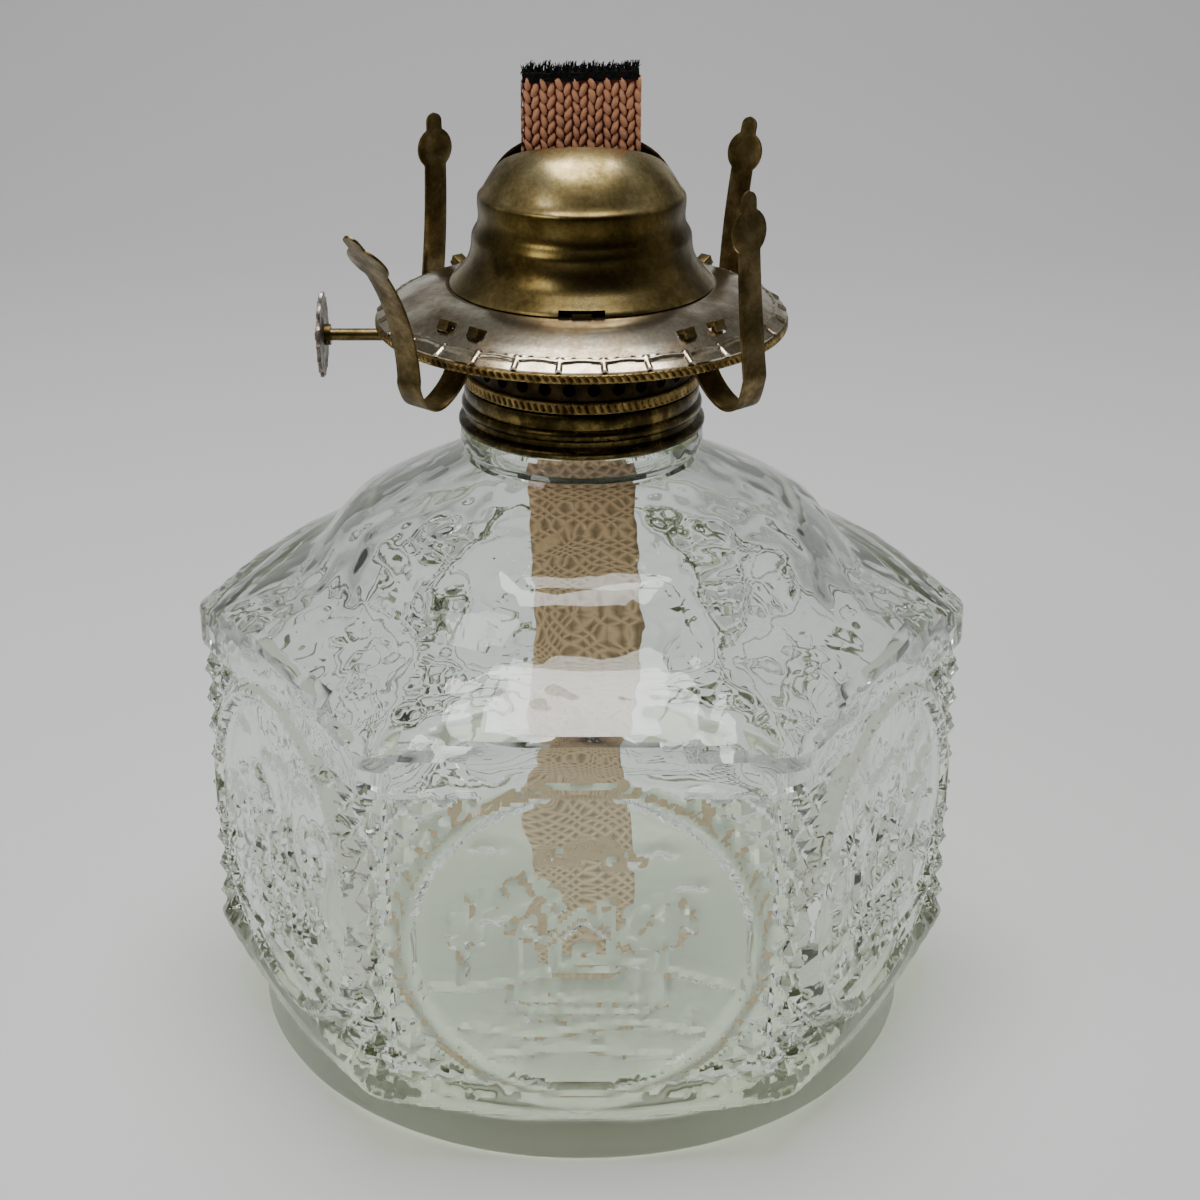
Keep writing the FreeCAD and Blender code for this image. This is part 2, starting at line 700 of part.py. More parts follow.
def wick_char():
    """The burnt end of the wick."""
    body = new_body("wick_char")
    block(body, "burnt_end", "wick_width - 0.4", "wick_thickness - 0.2", "char_height", "0", "0",
          WICK_TOP)
    return body


def wick_tail():
    """The wick hanging down in the font."""
    body = new_body("wick_tail")
    block(body, "tail_tape", "wick_width", "wick_thickness",
          f"{TAIL_TOP} - {TAIL_BOTTOM}", "0", "0", TAIL_BOTTOM)
    return body


# ---------------------------------------------------------------- wick raiser
def star(radius, depth, count):
    """An outline of points and notches about the origin."""
    corners = []
    for step in range(2 * count):
        reach = radius if step % 2 == 0 else f"({radius} - {depth})"
        turn = f"({180 * step / count} deg)"
        corners.append((f"{reach} * cos{turn}", f"{reach} * sin{turn}"))
    return corners


def disc_on_shaft(body, name, outline, thickness, x):
    """A flat wheel across the shaft, with its near face at x."""
    sketch = new_sketch(body, "YZ_Plane", name + "_plan")
    tie(sketch, "AttachmentOffset.Base.x", "shaft_setback")
    tie(sketch, "AttachmentOffset.Base.y", SHAFT_HEIGHT)
    tie(sketch, "AttachmentOffset.Base.z", x)
    draw_outline(sketch, outline)
    return padded(body, sketch, name, thickness)


def raiser_shaft():
    body = new_body("raiser_shaft")
    rod(body, "shaft", "shaft_radius", "-thumbwheel_reach - 1.4",
        "thumbwheel_reach + 1.4 + lug_spread + lug_width", "shaft_setback", SHAFT_HEIGHT)
    return body


def shaft_lug(label, side):
    """A lug soldered behind the wick tube that carries the raiser shaft."""
    body = new_body(label)
    back = f"({TUBE_DEPTH} / 2 + sheet_wall)"
    depth = f"(shaft_setback + shaft_radius + 1 - {back})"
    block(body, "lug", "lug_width", depth, "2 * shaft_radius + 2", f"{side} * lug_spread",
          f"{back} + {depth} / 2", f"{SHAFT_HEIGHT} - shaft_radius - 1")
    rod(body, "lug_bore", "shaft_radius + shaft_clearance", f"{side} * lug_spread - 3", "6",
        "shaft_setback", SHAFT_HEIGHT, cut=True)
    return body


def spur_wheel(label, side):
    body = new_body(label)
    teeth = int(number("spur_teeth"))
    disc_on_shaft(body, "star", star(SPUR_RADIUS, "0.9", teeth), "spur_width",
                  f"{side} * spur_spread - spur_width / 2")
    rod(body, "spur_bore", "shaft_radius", f"{side} * spur_spread - 3", "6", "shaft_setback",
        SHAFT_HEIGHT, cut=True)
    return body


def thumbwheel():
    body = new_body("thumbwheel")
    lobes = int(number("thumbwheel_lobes"))
    disc_on_shaft(body, "wheel", star("thumbwheel_radius", "0.35", lobes), "thumbwheel_thickness",
                  "-thumbwheel_reach - thumbwheel_thickness / 2")
    rod(body, "wheel_bore", "shaft_radius", "-thumbwheel_reach - 3", "6", "shaft_setback",
        SHAFT_HEIGHT, cut=True)
    return body


def thumbwheel_hub():
    """The riveted collar that holds the thumbwheel on its shaft."""
    body = new_body("thumbwheel_hub")
    rod(body, "hub", "shaft_radius + 0.9", "-thumbwheel_reach + thumbwheel_thickness / 2", "1.2",
        "shaft_setback", SHAFT_HEIGHT)
    rod(body, "hub_bore", "shaft_radius", "-thumbwheel_reach - 2", "6", "shaft_setback",
        SHAFT_HEIGHT, cut=True)
    return body


# ---------------------------------------------------------------- chimney prongs
def prong(label, side, end):
    """A springy strip: a foot under the gallery, a bend around its rim and an arm with ears."""
    body = new_body(label)
    bend_lean = f"({label}_bend_lean * 1 deg)"
    tip_lean = f"({label}_tip_lean * 1 deg)"
    foot = TAB_CIRCLE
    middle = f"({foot} + prong_bend_radius)"
    bend_height = f"({GALLERY_TOP} - prong_drop)"
    foot_top = f"({GALLERY_TOP} - gallery_tab_drop - sheet_wall - prong_gap)"
    bend_x = f"({middle} + prong_bend_radius * cos({bend_lean}))"
    bend_z = f"({bend_height} + prong_bend_radius * sin({bend_lean}))"
    ear_arm = "(prong_arm - ear_setback)"
    # the arm turns evenly from one lean to the other, so its chord takes the mean lean
    mean = f"(({bend_lean} + {tip_lean}) / 2)"
    turn = f"(({label}_tip_lean - {label}_bend_lean) / 57.29578)"
    half = f"(({tip_lean} - {bend_lean}) / 2)"
    chord = f"({ear_arm} * 2 * sin({half}) / {turn})"
    ear_x = f"({bend_x} - {chord} * sin({mean}))"
    ear_z = f"({bend_z} + {chord} * cos({mean}))"

    path = new_sketch(body, "XZ_Plane", "strip_path")
    points = [V(number(x), number(z), 0) for x, z in
              ((foot, foot_top), (foot, bend_height), (bend_x, bend_z), (ear_x, ear_z))]
    low = V(number(middle), number(bend_height) - number("prong_bend_radius"), 0)
    start_lean = math.radians(number(f"{label}_bend_lean"))
    half_turn = math.radians(number(f"({label}_tip_lean - {label}_bend_lean) / 2"))
    forward = V(-math.sin(start_lean + half_turn / 2), math.cos(start_lean + half_turn / 2), 0)
    half_chord = number(ear_arm) / 2 * math.sin(half_turn / 2) / (half_turn / 2)
    arm_middle = points[2] + forward * half_chord
    down = path.addGeometry(Part.LineSegment(points[0], points[1]))
    bend = path.addGeometry(Part.Arc(points[1], low, points[2]))
    arm = path.addGeometry(Part.Arc(points[2], arm_middle, points[3]))
    bend_first = (path.getPoint(bend, 1) - points[1]).Length < 0.01
    bend_ends = (1, 2) if bend_first else (2, 1)
    arm_first = (path.getPoint(arm, 1) - points[2]).Length < 0.01
    arm_ends = (1, 2) if arm_first else (2, 1)
    path.addConstraint(Sketcher.Constraint("Tangent", down, 2, bend, bend_ends[0]))
    path.addConstraint(Sketcher.Constraint("Tangent", bend, bend_ends[1], arm, arm_ends[0]))
    pin(path, down, 1, foot, foot_top)
    pin(path, bend, 3, middle, bend_height)
    path.addConstraint(Sketcher.Constraint("Vertical", down))
    pin(path, arm, arm_ends[1], ear_x, ear_z)

    section = new_sketch(body, "XY_Plane", "strip_section")
    tie(section, "AttachmentOffset.Base.z", foot_top)
    left, right = f"{foot} - prong_strip / 2", f"{foot} + prong_strip / 2"
    draw_outline(section, [(left, "-prong_width / 2"), (right, "-prong_width / 2"),
                           (right, "prong_width / 2"), (left, "prong_width / 2")])
    strip = body.newObject("PartDesign::AdditivePipe", "strip")
    strip.Profile = section
    strip.Spine = path
    doc.recompute()

    ear = body.newObject("PartDesign::AdditiveCylinder", "ears")
    ear.Placement = FreeCAD.Placement(V(), FreeCAD.Rotation(V(0, 1, 0), 90))
    tie(ear, "Radius", "ear_radius")
    tie(ear, "Height", "prong_strip")
    tie(ear, "Placement.Rotation.Angle", f"90 deg - {tip_lean}")
    tie(ear, "Placement.Base.x", f"{ear_x} - prong_strip / 2 * cos({tip_lean})")
    tie(ear, "Placement.Base.z", f"{ear_z} - prong_strip / 2 * sin({tip_lean})")
    doc.recompute()
    nub_length = "(ear_setback - nub_width / 2)"
    nub = body.newObject("PartDesign::AdditiveBox", "nub")
    nub.Placement = FreeCAD.Placement(V(), FreeCAD.Rotation(V(0, 1, 0), 1))
    tie(nub, "Length", "prong_strip")
    tie(nub, "Width", "nub_width")
    tie(nub, "Height", nub_length)
    tie(nub, "Placement.Rotation.Angle", f"0 deg - {tip_lean}")
    tie(nub, "Placement.Base.x", f"{ear_x} - prong_strip / 2 * cos({tip_lean})")
    tie(nub, "Placement.Base.y", "-nub_width / 2")
    tie(nub, "Placement.Base.z", f"{ear_z} - prong_strip / 2 * sin({tip_lean})")
    doc.recompute()
    nub_end = body.newObject("PartDesign::AdditiveCylinder", "nub_end")
    nub_end.Placement = FreeCAD.Placement(V(), FreeCAD.Rotation(V(0, 1, 0), 90))
    tie(nub_end, "Radius", "nub_width / 2")
    tie(nub_end, "Height", "prong_strip")
    tie(nub_end, "Placement.Rotation.Angle", f"90 deg - {tip_lean}")
    end_x = f"{ear_x} - {nub_length} * sin({tip_lean})"
    end_z = f"{ear_z} + {nub_length} * cos({tip_lean})"
    tie(nub_end, "Placement.Base.x", f"{end_x} - prong_strip / 2 * cos({tip_lean})")
    tie(nub_end, "Placement.Base.z", f"{end_z} - prong_strip / 2 * sin({tip_lean})")
    doc.recompute()
    block(body, "foot_bar", "prong_strip", "tab_spacing + tab_width", "2.2", foot, "0",
          f"{foot_top} - 2.2")
    for twin in (1, -1):
        block(body, "tab", "prong_strip", "tab_width", "prong_gap + sheet_wall + 1.8", foot,
              f"{twin} * tab_spacing / 2", foot_top)
        block(body, "tab_hook", "1.6", "tab_width", "0.6", f"{foot} - 0.5",
              f"{twin} * tab_spacing / 2", f"{foot_top} + prong_gap + sheet_wall + 1.2")
    heading = 90 * end - side * end * number("prong_spread")
    body.Placement = FreeCAD.Placement(V(), FreeCAD.Rotation(V(0, 0, 1), heading))
    tie(body, "Placement.Rotation.Angle", f"{90 * end} deg - {side * end} * prong_spread * 1 deg")
    doc.recompute()
    return body


def build():
    fill_sheet()
    pieces = [
        glass_font(), collar(), collar_plaster(),
        burner_base(), air_drum(), shaft_bush(), air_distributor(),
        gallery_plate(), gallery_edge_ring(), dome_catch(), wick_tube(),
        shaft_lug("shaft_lug_left", -1), shaft_lug("shaft_lug_right", 1),
        dome(),
        raiser_shaft(), spur_wheel("spur_wheel_left", -1), spur_wheel("spur_wheel_right", 1),
        thumbwheel(), thumbwheel_hub(),
        wick(), wick_char(), wick_tail(),
        prong("prong_front_left", -1, -1), prong("prong_front_right", 1, -1),
        prong("prong_back_left", -1, 1), prong("prong_back_right", 1, 1),
    ]
    doc.recompute()
    for item in doc.Objects:
        bad = {"Invalid", "Error"} & set(item.State)
        if bad:
            raise RuntimeError(f"{item.Label} is {sorted(bad)}")
    os.makedirs("parts", exist_ok=True)
    for piece in pieces:
        shape = piece.Shape
        if shape.isNull() or not shape.isValid() or not shape.Solids:
            raise RuntimeError(f"{piece.Label} has no valid solid")
        print(f"{piece.Label}: {len(shape.Solids)} solid, {shape.Volume:.1f} mm3")
    for piece in pieces:
        piece.Shape.exportStep(os.path.join("parts", piece.Label + ".step"))


build()
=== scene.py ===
"""Oil lamp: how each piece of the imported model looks, with the floor, lights and camera."""
import math
import random

import bpy
import numpy as np
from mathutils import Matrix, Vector, noise


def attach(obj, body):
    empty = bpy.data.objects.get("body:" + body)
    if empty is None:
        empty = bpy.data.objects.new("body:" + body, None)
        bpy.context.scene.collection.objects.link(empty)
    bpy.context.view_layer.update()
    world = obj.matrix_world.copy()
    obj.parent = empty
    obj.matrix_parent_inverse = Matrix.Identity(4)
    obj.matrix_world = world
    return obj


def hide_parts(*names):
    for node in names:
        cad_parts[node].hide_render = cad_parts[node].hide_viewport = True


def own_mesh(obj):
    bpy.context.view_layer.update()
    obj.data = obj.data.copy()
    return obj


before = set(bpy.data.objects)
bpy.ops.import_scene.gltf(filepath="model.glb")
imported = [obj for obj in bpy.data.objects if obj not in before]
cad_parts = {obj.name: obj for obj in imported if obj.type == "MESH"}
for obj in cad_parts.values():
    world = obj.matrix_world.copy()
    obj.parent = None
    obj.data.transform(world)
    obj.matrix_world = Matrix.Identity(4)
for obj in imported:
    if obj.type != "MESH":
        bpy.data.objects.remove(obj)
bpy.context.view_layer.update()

MM = 0.001


# ------------------------------------------------------------------ modelling helpers
def deselect():
    bpy.ops.object.select_all(action="DESELECT")


def edit(select=True):
    bpy.ops.object.mode_set(mode="EDIT")
    bpy.ops.mesh.select_mode(type="VERT")
    bpy.ops.mesh.select_all(action="SELECT" if select else "DESELECT")


def leave():
    bpy.ops.object.mode_set(mode="OBJECT")


def named(name):
    piece = bpy.context.object
    piece.name = piece.data.name = name
    return piece


def only(piece):
    deselect()
    piece.select_set(True)
    bpy.context.view_layer.objects.active = piece


def place_in_mesh(piece):
    only(piece)
    bpy.ops.object.transform_apply(location=True, rotation=True, scale=True)


def with_modifier(piece, kind, **settings):
    """Adds a modifier, sets it and applies it."""
    only(piece)
    modifier = piece.modifiers.new(kind.lower(), kind)
    for name, value in settings.items():
        setattr(modifier, name, value)
    bpy.ops.object.modifier_apply(modifier=modifier.name)


def cut(piece, *tools, operation="DIFFERENCE"):
    """Cuts or joins other closed shapes, which are then removed."""
    for tool in tools:
        with_modifier(piece, "BOOLEAN", operation=operation, object=tool, solver="EXACT")
        bpy.data.objects.remove(tool)


def joined(name, pieces):
    deselect()
    for piece in pieces:
        piece.select_set(True)
    bpy.context.view_layer.objects.active = pieces[0]
    bpy.ops.object.join()
    return named(name)


def smooth(piece, degrees=35):
    only(piece)
    bpy.ops.object.shade_smooth_by_angle(angle=math.radians(degrees))


def curve_through(points, steps):
    """A smooth line through the points, as a Catmull-Rom curve."""
    points = [Vector(p) for p in points]
    ends = [2 * points[0] - points[1]] + points + [2 * points[-1] - points[-2]]
    line = []
    for a, b, c, d in zip(ends, ends[1:], ends[2:], ends[3:]):
        for step in range(steps):
            t = step / steps
            line.append(
                0.5 * (2 * b + (c - a) * t + (2 * a - 5 * b + 4 * c - d) * t**2
                       + (3 * b - a - 3 * c + d) * t**3)
            )
    return line + [points[-1]]


def turned(name, outline, steps=128):
    """A shell turned about the lamp's axis from an outline of radius and height."""
    deselect()
    bpy.ops.mesh.primitive_plane_add(size=MM)
    piece = named(name)
    edit()
    bpy.ops.mesh.merge(type="CENTER")
    spots = [Vector((r, 0, z)) for r, z in outline]
    bpy.ops.transform.translate(value=spots[0])
    for here, there in zip(spots, spots[1:]):
        bpy.ops.mesh.extrude_region_move(TRANSFORM_OT_translate={"value": there - here})
    bpy.ops.mesh.select_all(action="SELECT")
    bpy.ops.mesh.spin(steps=steps, angle=2 * math.pi, center=(0, 0, 0), axis=(0, 0, 1))
    bpy.ops.mesh.select_all(action="SELECT")
    bpy.ops.mesh.remove_doubles(threshold=0.001 * MM)
    bpy.ops.mesh.normals_make_consistent(inside=False)
    leave()
    return piece


def points_of(piece):
    spots = np.empty(len(piece.data.vertices) * 3)
    piece.data.vertices.foreach_get("co", spots)
    return spots.reshape(-1, 3)


def move_points(piece, spots):
    piece.data.vertices.foreach_set("co", np.asarray(spots, float).ravel())
    piece.data.update()


def finish(piece, body, slot, material, *nodes):
    """Gives a piece its material and its body, and hides the nodes it stands for."""
    piece.data.materials.clear()
    piece.data.materials.append(material)
    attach(piece, body)
    if nodes:
        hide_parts(*nodes)
    return piece


# ------------------------------------------------------------------ material helpers
def tint(code, alpha=1.0):
    """A hex sRGB colour as linear values."""
    parts = [int(code[i:i + 2], 16) / 255 for i in (1, 3, 5)]
    return [p / 12.92 if p < 0.04045 else ((p + 0.055) / 1.055) ** 2.4 for p in parts] + [alpha]


def node(tree, kind, settings=None, **links):
    """Adds a shader node; settings are its properties and values, links its inputs."""
    made = tree.nodes.new("ShaderNode" + kind)
    for name, value in (settings or {}).items():
        if isinstance(name, int) or name in made.inputs:
            made.inputs[name].default_value = value
        else:
            setattr(made, name, value)
    for name, source in links.items():
        socket = made.inputs[name.replace("_", " ")]
        tree.links.new(source, socket)
    return made


def new_material(name):
    material = bpy.data.materials.new(name)
    material.use_nodes = True
    tree = material.node_tree
    tree.nodes.clear()
    shader = node(tree, "BsdfPrincipled")
    output = node(tree, "OutputMaterial", Surface=shader.outputs[0])
    where = node(tree, "TexCoord").outputs["Object"]
    return material, tree, shader, output, where


def set_shader(shader, **values):
    for name, value in values.items():
        shader.inputs[name.replace("_", " ")].default_value = value


def ramp(tree, source, stops):
    """A colour ramp over (place, colour) stops."""
    made = node(tree, "ValToRGB", Fac=source)
    elements = made.color_ramp.elements
    elements[0].position, elements[0].color = stops[0]
    elements[1].position, elements[1].color = stops[-1]
    for place, colour in stops[1:-1]:
        elements.new(place).color = colour
    return made.outputs["Color"]


def grain(tree, where, size_mm, detail=6, roughness=0.6, **more):
    """A noise whose blotches are about size_mm across."""
    settings = {"Scale": 1000 / size_mm, "Detail": detail, "Roughness": roughness, **more}
    return node(tree, "TexNoise", settings, Vector=where).outputs["Fac"]


def aged_metal(name, colours, rough, blotch_mm=9, speck_mm=1.2, bump=0.15):
    """A worn metal: blotches of tarnish, fine specks and a slightly uneven sheen."""
    material, tree, shader, _, where = new_material(name)
    dark, middle, bright = [tint(c) for c in colours]
    blotch = grain(tree, where, blotch_mm, detail=5)
    speck = grain(tree, where, speck_mm, detail=8, roughness=0.7)
    mixed = node(tree, "Math", {"operation": "MULTIPLY_ADD", 1: 0.35}, Value=speck)
    tree.links.new(blotch, mixed.inputs[2])
    stops = [(0.48, dark), (0.66, middle), (0.86, bright)]
    tree.links.new(ramp(tree, mixed.outputs[0], stops), shader.inputs["Base Color"])
    sheen = node(tree, "MapRange", {"From Min": 0.3, "From Max": 0.7, "To Min": rough[1],
                                    "To Max": rough[0]}, Value=blotch)
    tree.links.new(sheen.outputs[0], shader.inputs["Roughness"])
    relief = node(tree, "Bump", {"Strength": bump, "Distance": 0.05 * MM}, Height=speck)
    tree.links.new(relief.outputs[0], shader.inputs["Normal"])
    set_shader(shader, Metallic=1.0)
    return material


# ------------------------------------------------------------------ materials
def pressed_glass():
    """Soda-lime glass pressed in a mould: clear, faintly green where it is thick."""
    material, tree, shader, output, where = new_material("clear_pressed_glass")
    set_shader(shader, Base_Color=tint("#fbfffd"), Roughness=0.0, IOR=1.5,
               Transmission_Weight=1.0)
    waves = grain(tree, where, 9, detail=1)
    relief = node(tree, "Bump", {"Distance": 0.8 * MM}, Height=waves)
    tree.links.new(relief.outputs[0], shader.inputs["Normal"])
    height = node(tree, "SeparateXYZ", Vector=where).outputs["Z"]
    # the foot's rim is hazy, and the shoulder is wavier than the faces below it
    haze = node(tree, "MapRange", {"From Min": 9.5 * MM, "From Max": 12 * MM,
                                   "To Min": 0.35, "To Max": 0.0}, Value=height)
    tree.links.new(haze.outputs[0], shader.inputs["Roughness"])
    wavy = node(tree, "MapRange", {"From Min": 80 * MM, "From Max": 92 * MM,
                                   "To Min": 0.15, "To Max": 0.5}, Value=height)
    tree.links.new(wavy.outputs[0], relief.inputs["Strength"])
    tint_in_depth = node(tree, "VolumeAbsorption", {"Color": tint("#d3d5c6"), "Density": 18.0})
    tree.links.new(tint_in_depth.outputs[0], output.inputs["Volume"])
    # a lamp's light passes through to what stands inside, and a ray that has bounced about in
    # the walls three times goes straight out instead of ending black
    rays = node(tree, "LightPath").outputs
    spent = node(tree, "Math", {"operation": "GREATER_THAN", 1: 2.5}, Value=rays["Glossy Depth"])
    straight = node(tree, "Math", {"operation": "MAXIMUM"}, Value=rays["Is Shadow Ray"])
    tree.links.new(spent.outputs[0], straight.inputs[1])
    clear = node(tree, "BsdfTransparent", {"Color": tint("#e4e6dd")})
    mixed = node(tree, "MixShader", Fac=straight.outputs[0])
    tree.links.new(shader.outputs[0], mixed.inputs[1])
    tree.links.new(clear.outputs[0], mixed.inputs[2])
    tree.links.new(mixed.outputs[0], output.inputs["Surface"])
    return material


def dome_metal():
    """Spun brass, satin where it is rubbed and olive brown where it has tarnished, with a painted
    highlight on its foot and crown and a painted dark reflection on its wall.
    """
    material = aged_metal("aged_satin_brass", ("#5c4f2f", "#9d8c60", "#d6c69a"), (0.22, 0.4),
                          blotch_mm=11, speck_mm=0.9, bump=0.25)
    tree = material.node_tree
    shader = tree.nodes["Principled BSDF"]
    colour = shader.inputs["Base Color"].links[0].from_socket
    where = node(tree, "TexCoord").outputs["Object"]
    height = node(tree, "SeparateXYZ", Vector=where).outputs["Z"]
    level = node(tree, "MapRange", {"From Min": 156 * MM, "From Max": 186 * MM}, Value=height)
    # painted highlight, light at the foot and brightest on the crown, and painted dark reflection
    # on the wall between
    stops = [(0.0, tint("#cfc8b6")), (0.1, tint("#c4bca8")), (0.22, tint("#968d70")),
             (0.56, tint("#8f8665")), (0.585, tint("#f6f1e6")), (1.0, tint("#ffffff"))]
    painted_reflections = ramp(tree, level.outputs[0], stops)
    # a Mix node keeps its colours in sockets 6 and 7, and gives the mixed colour at socket 2
    # the painted highlight and painted dark reflection multiply the brass colour
    worn = node(tree, "Mix", {"data_type": "RGBA", "blend_type": "MULTIPLY"})
    worn.inputs["Factor"].default_value = 1.0
    tree.links.new(colour, worn.inputs[6])
    tree.links.new(painted_reflections, worn.inputs[7])
    tree.links.new(worn.outputs[2], shader.inputs["Base Color"])
    return material


def plate_metal():
    """Nickel plate worn thin over brass, silvery with warm stains."""
    return aged_metal("worn_nickel_plate", ("#75644b", "#b0a188", "#e8dfc9"), (0.14, 0.27),
                      blotch_mm=8, speck_mm=0.8, bump=0.2)


def spring_metal():
    """Cold-rolled spring brass under old plating, dull grey brown."""
    return aged_metal("dull_spring_brass", ("#372b15", "#564829", "#7e6c4a"), (0.28, 0.48),
                      blotch_mm=5, speck_mm=0.6, bump=0.3)


def collar_metal():
    """Stamped brass gone dark in its grooves."""
    return aged_metal("dark_stamped_brass", ("#191408", "#3f3419", "#7a693c"), (0.2, 0.4),
                      blotch_mm=5, speck_mm=0.7, bump=0.25)


def milled_metal():
    """Rope-milled brass, bright on the ridges and brown between."""
    return aged_metal("milled_brass", ("#4a3a1c", "#7a6438", "#a38a58"), (0.3, 0.45),
                      blotch_mm=3, speck_mm=0.5, bump=0.3)


def shade_black_brass():
    """Brass inside the burner, painted nearly black as the shade in its recess."""
    return aged_metal("brass_painted_shade_black", ("#17120a", "#2a2114", "#40341f"), (0.45, 0.6),
                      blotch_mm=4, speck_mm=0.8)


def wheel_metal():
    """Zinc-plated steel, grey with rust-brown freckles."""
    return aged_metal("freckled_plated_steel", ("#4f4136", "#7d746b", "#9c948b"), (0.35, 0.55),
                      blotch_mm=2.2, speck_mm=0.5, bump=0.3)


def cotton(name, dark, middle, light, depth_mm):
    """Loose-spun cotton yarn: matt, with painted shade that darkens it deeper between the stitches
    and leaves their tops light.
    """
    material, tree, shader, _, where = new_material(name)
    place = node(tree, "SeparateXYZ", Vector=where).outputs
    # painted shade: the yarn is darker the nearer it lies to the wick's middle
    depth = node(tree, "Math", {"operation": "ABSOLUTE"}, Value=place["Y"])
    shade = node(tree, "MapRange", {"From Min": depth_mm[0] * MM, "From Max": depth_mm[1] * MM},
                 Value=depth.outputs[0])
    fuzz = grain(tree, where, 1.1, detail=6, roughness=0.7)
    mixed = node(tree, "Math", {"operation": "MULTIPLY_ADD", 1: 0.8}, Value=fuzz)
    tree.links.new(shade.outputs[0], mixed.inputs[2])
    stops = [(0.3, tint(dark)), (0.8, tint(middle)), (1.0, tint(light))]
    tree.links.new(ramp(tree, mixed.outputs[0], stops), shader.inputs["Base Color"])
    fibre = grain(tree, where, 0.35, detail=4, roughness=0.8)
    relief = node(tree, "Bump", {"Strength": 0.9, "Distance": 0.15 * MM}, Height=fibre)
    tree.links.new(relief.outputs[0], shader.inputs["Normal"])
    set_shader(shader, Roughness=0.95, Sheen_Weight=0.25, Sheen_Roughness=0.5)
    return material


def charred_cotton():
    """Burnt cotton: soot black and dead matt."""
    material, tree, shader, _, where = new_material("charred_cotton")
    soot = grain(tree, where, 1.0)
    stops = [(0.4, tint("#080808")), (0.7, tint("#1b1917"))]
    tree.links.new(ramp(tree, soot, stops), shader.inputs["Base Color"])
    set_shader(shader, Roughness=0.95, Specular_IOR_Level=0.2)
    return material


# ------------------------------------------------------------------ glass font
FACES = 6
REACH, ROUNDING = 79.2 * MM, 5 * MM
MEDALLION_HEIGHT, MEDALLION_RADIUS = 49.5 * MM, 32.3 * MM
DIAMONDS_PER_FACE = 11
STEPS_PER_DIAMOND = 8


def hexagon_points(count_per_face, inset=0.0):
    """Points round the rounded hexagon, with their outward directions and their places
    along their face from its middle."""
    reach = REACH - inset * 2 / math.sqrt(3)
    half_flat = reach / 2 - ROUNDING / math.sqrt(3)
    arc = ROUNDING * math.pi / 6
    length = 2 * (half_flat + arc)
    spots, outward, along = [], [], []
    for face in range(FACES):
        heading = math.radians(60 * face - 90)
        normal = np.array([math.cos(heading), math.sin(heading)])
        side = np.array([-normal[1], normal[0]])
        for step in range(count_per_face):
            u = (step / count_per_face - 0.5) * length
            over = max(0.0, abs(u) - half_flat) / ROUNDING * math.copysign(1, u)
            flat = max(-half_flat, min(half_flat, u))
            turn = math.cos(over) * normal + math.sin(over) * side
            centre = (reach * math.sqrt(3) / 2 - ROUNDING) * normal + flat * side
            spots.append(centre + ROUNDING * turn)
            outward.append(turn)
            along.append(u)
    return np.array(spots), np.array(outward), np.array(along), length


def soft_least(a, b, width):
    """The lesser of two lengths, with a rounded corner where they cross."""
    return -width * np.logaddexp(-a / width, -b / width)


def stroke(u, z, start, end, width, height):
    """A rounded ridge from start to end, as heights over a face."""
    start, end = np.array(start) * MM, np.array(end) * MM
    run = end - start
    reach = max(run @ run, 1e-12)
    share = np.clip(((u - start[0]) * run[0] + (z - start[1]) * run[1]) / reach, 0, 1)
    away = np.hypot(u - start[0] - share * run[0], z - start[1] - share * run[1])
    return height * MM * np.sqrt(np.clip(1 - (away / (width * MM)) ** 2, 0, 1))


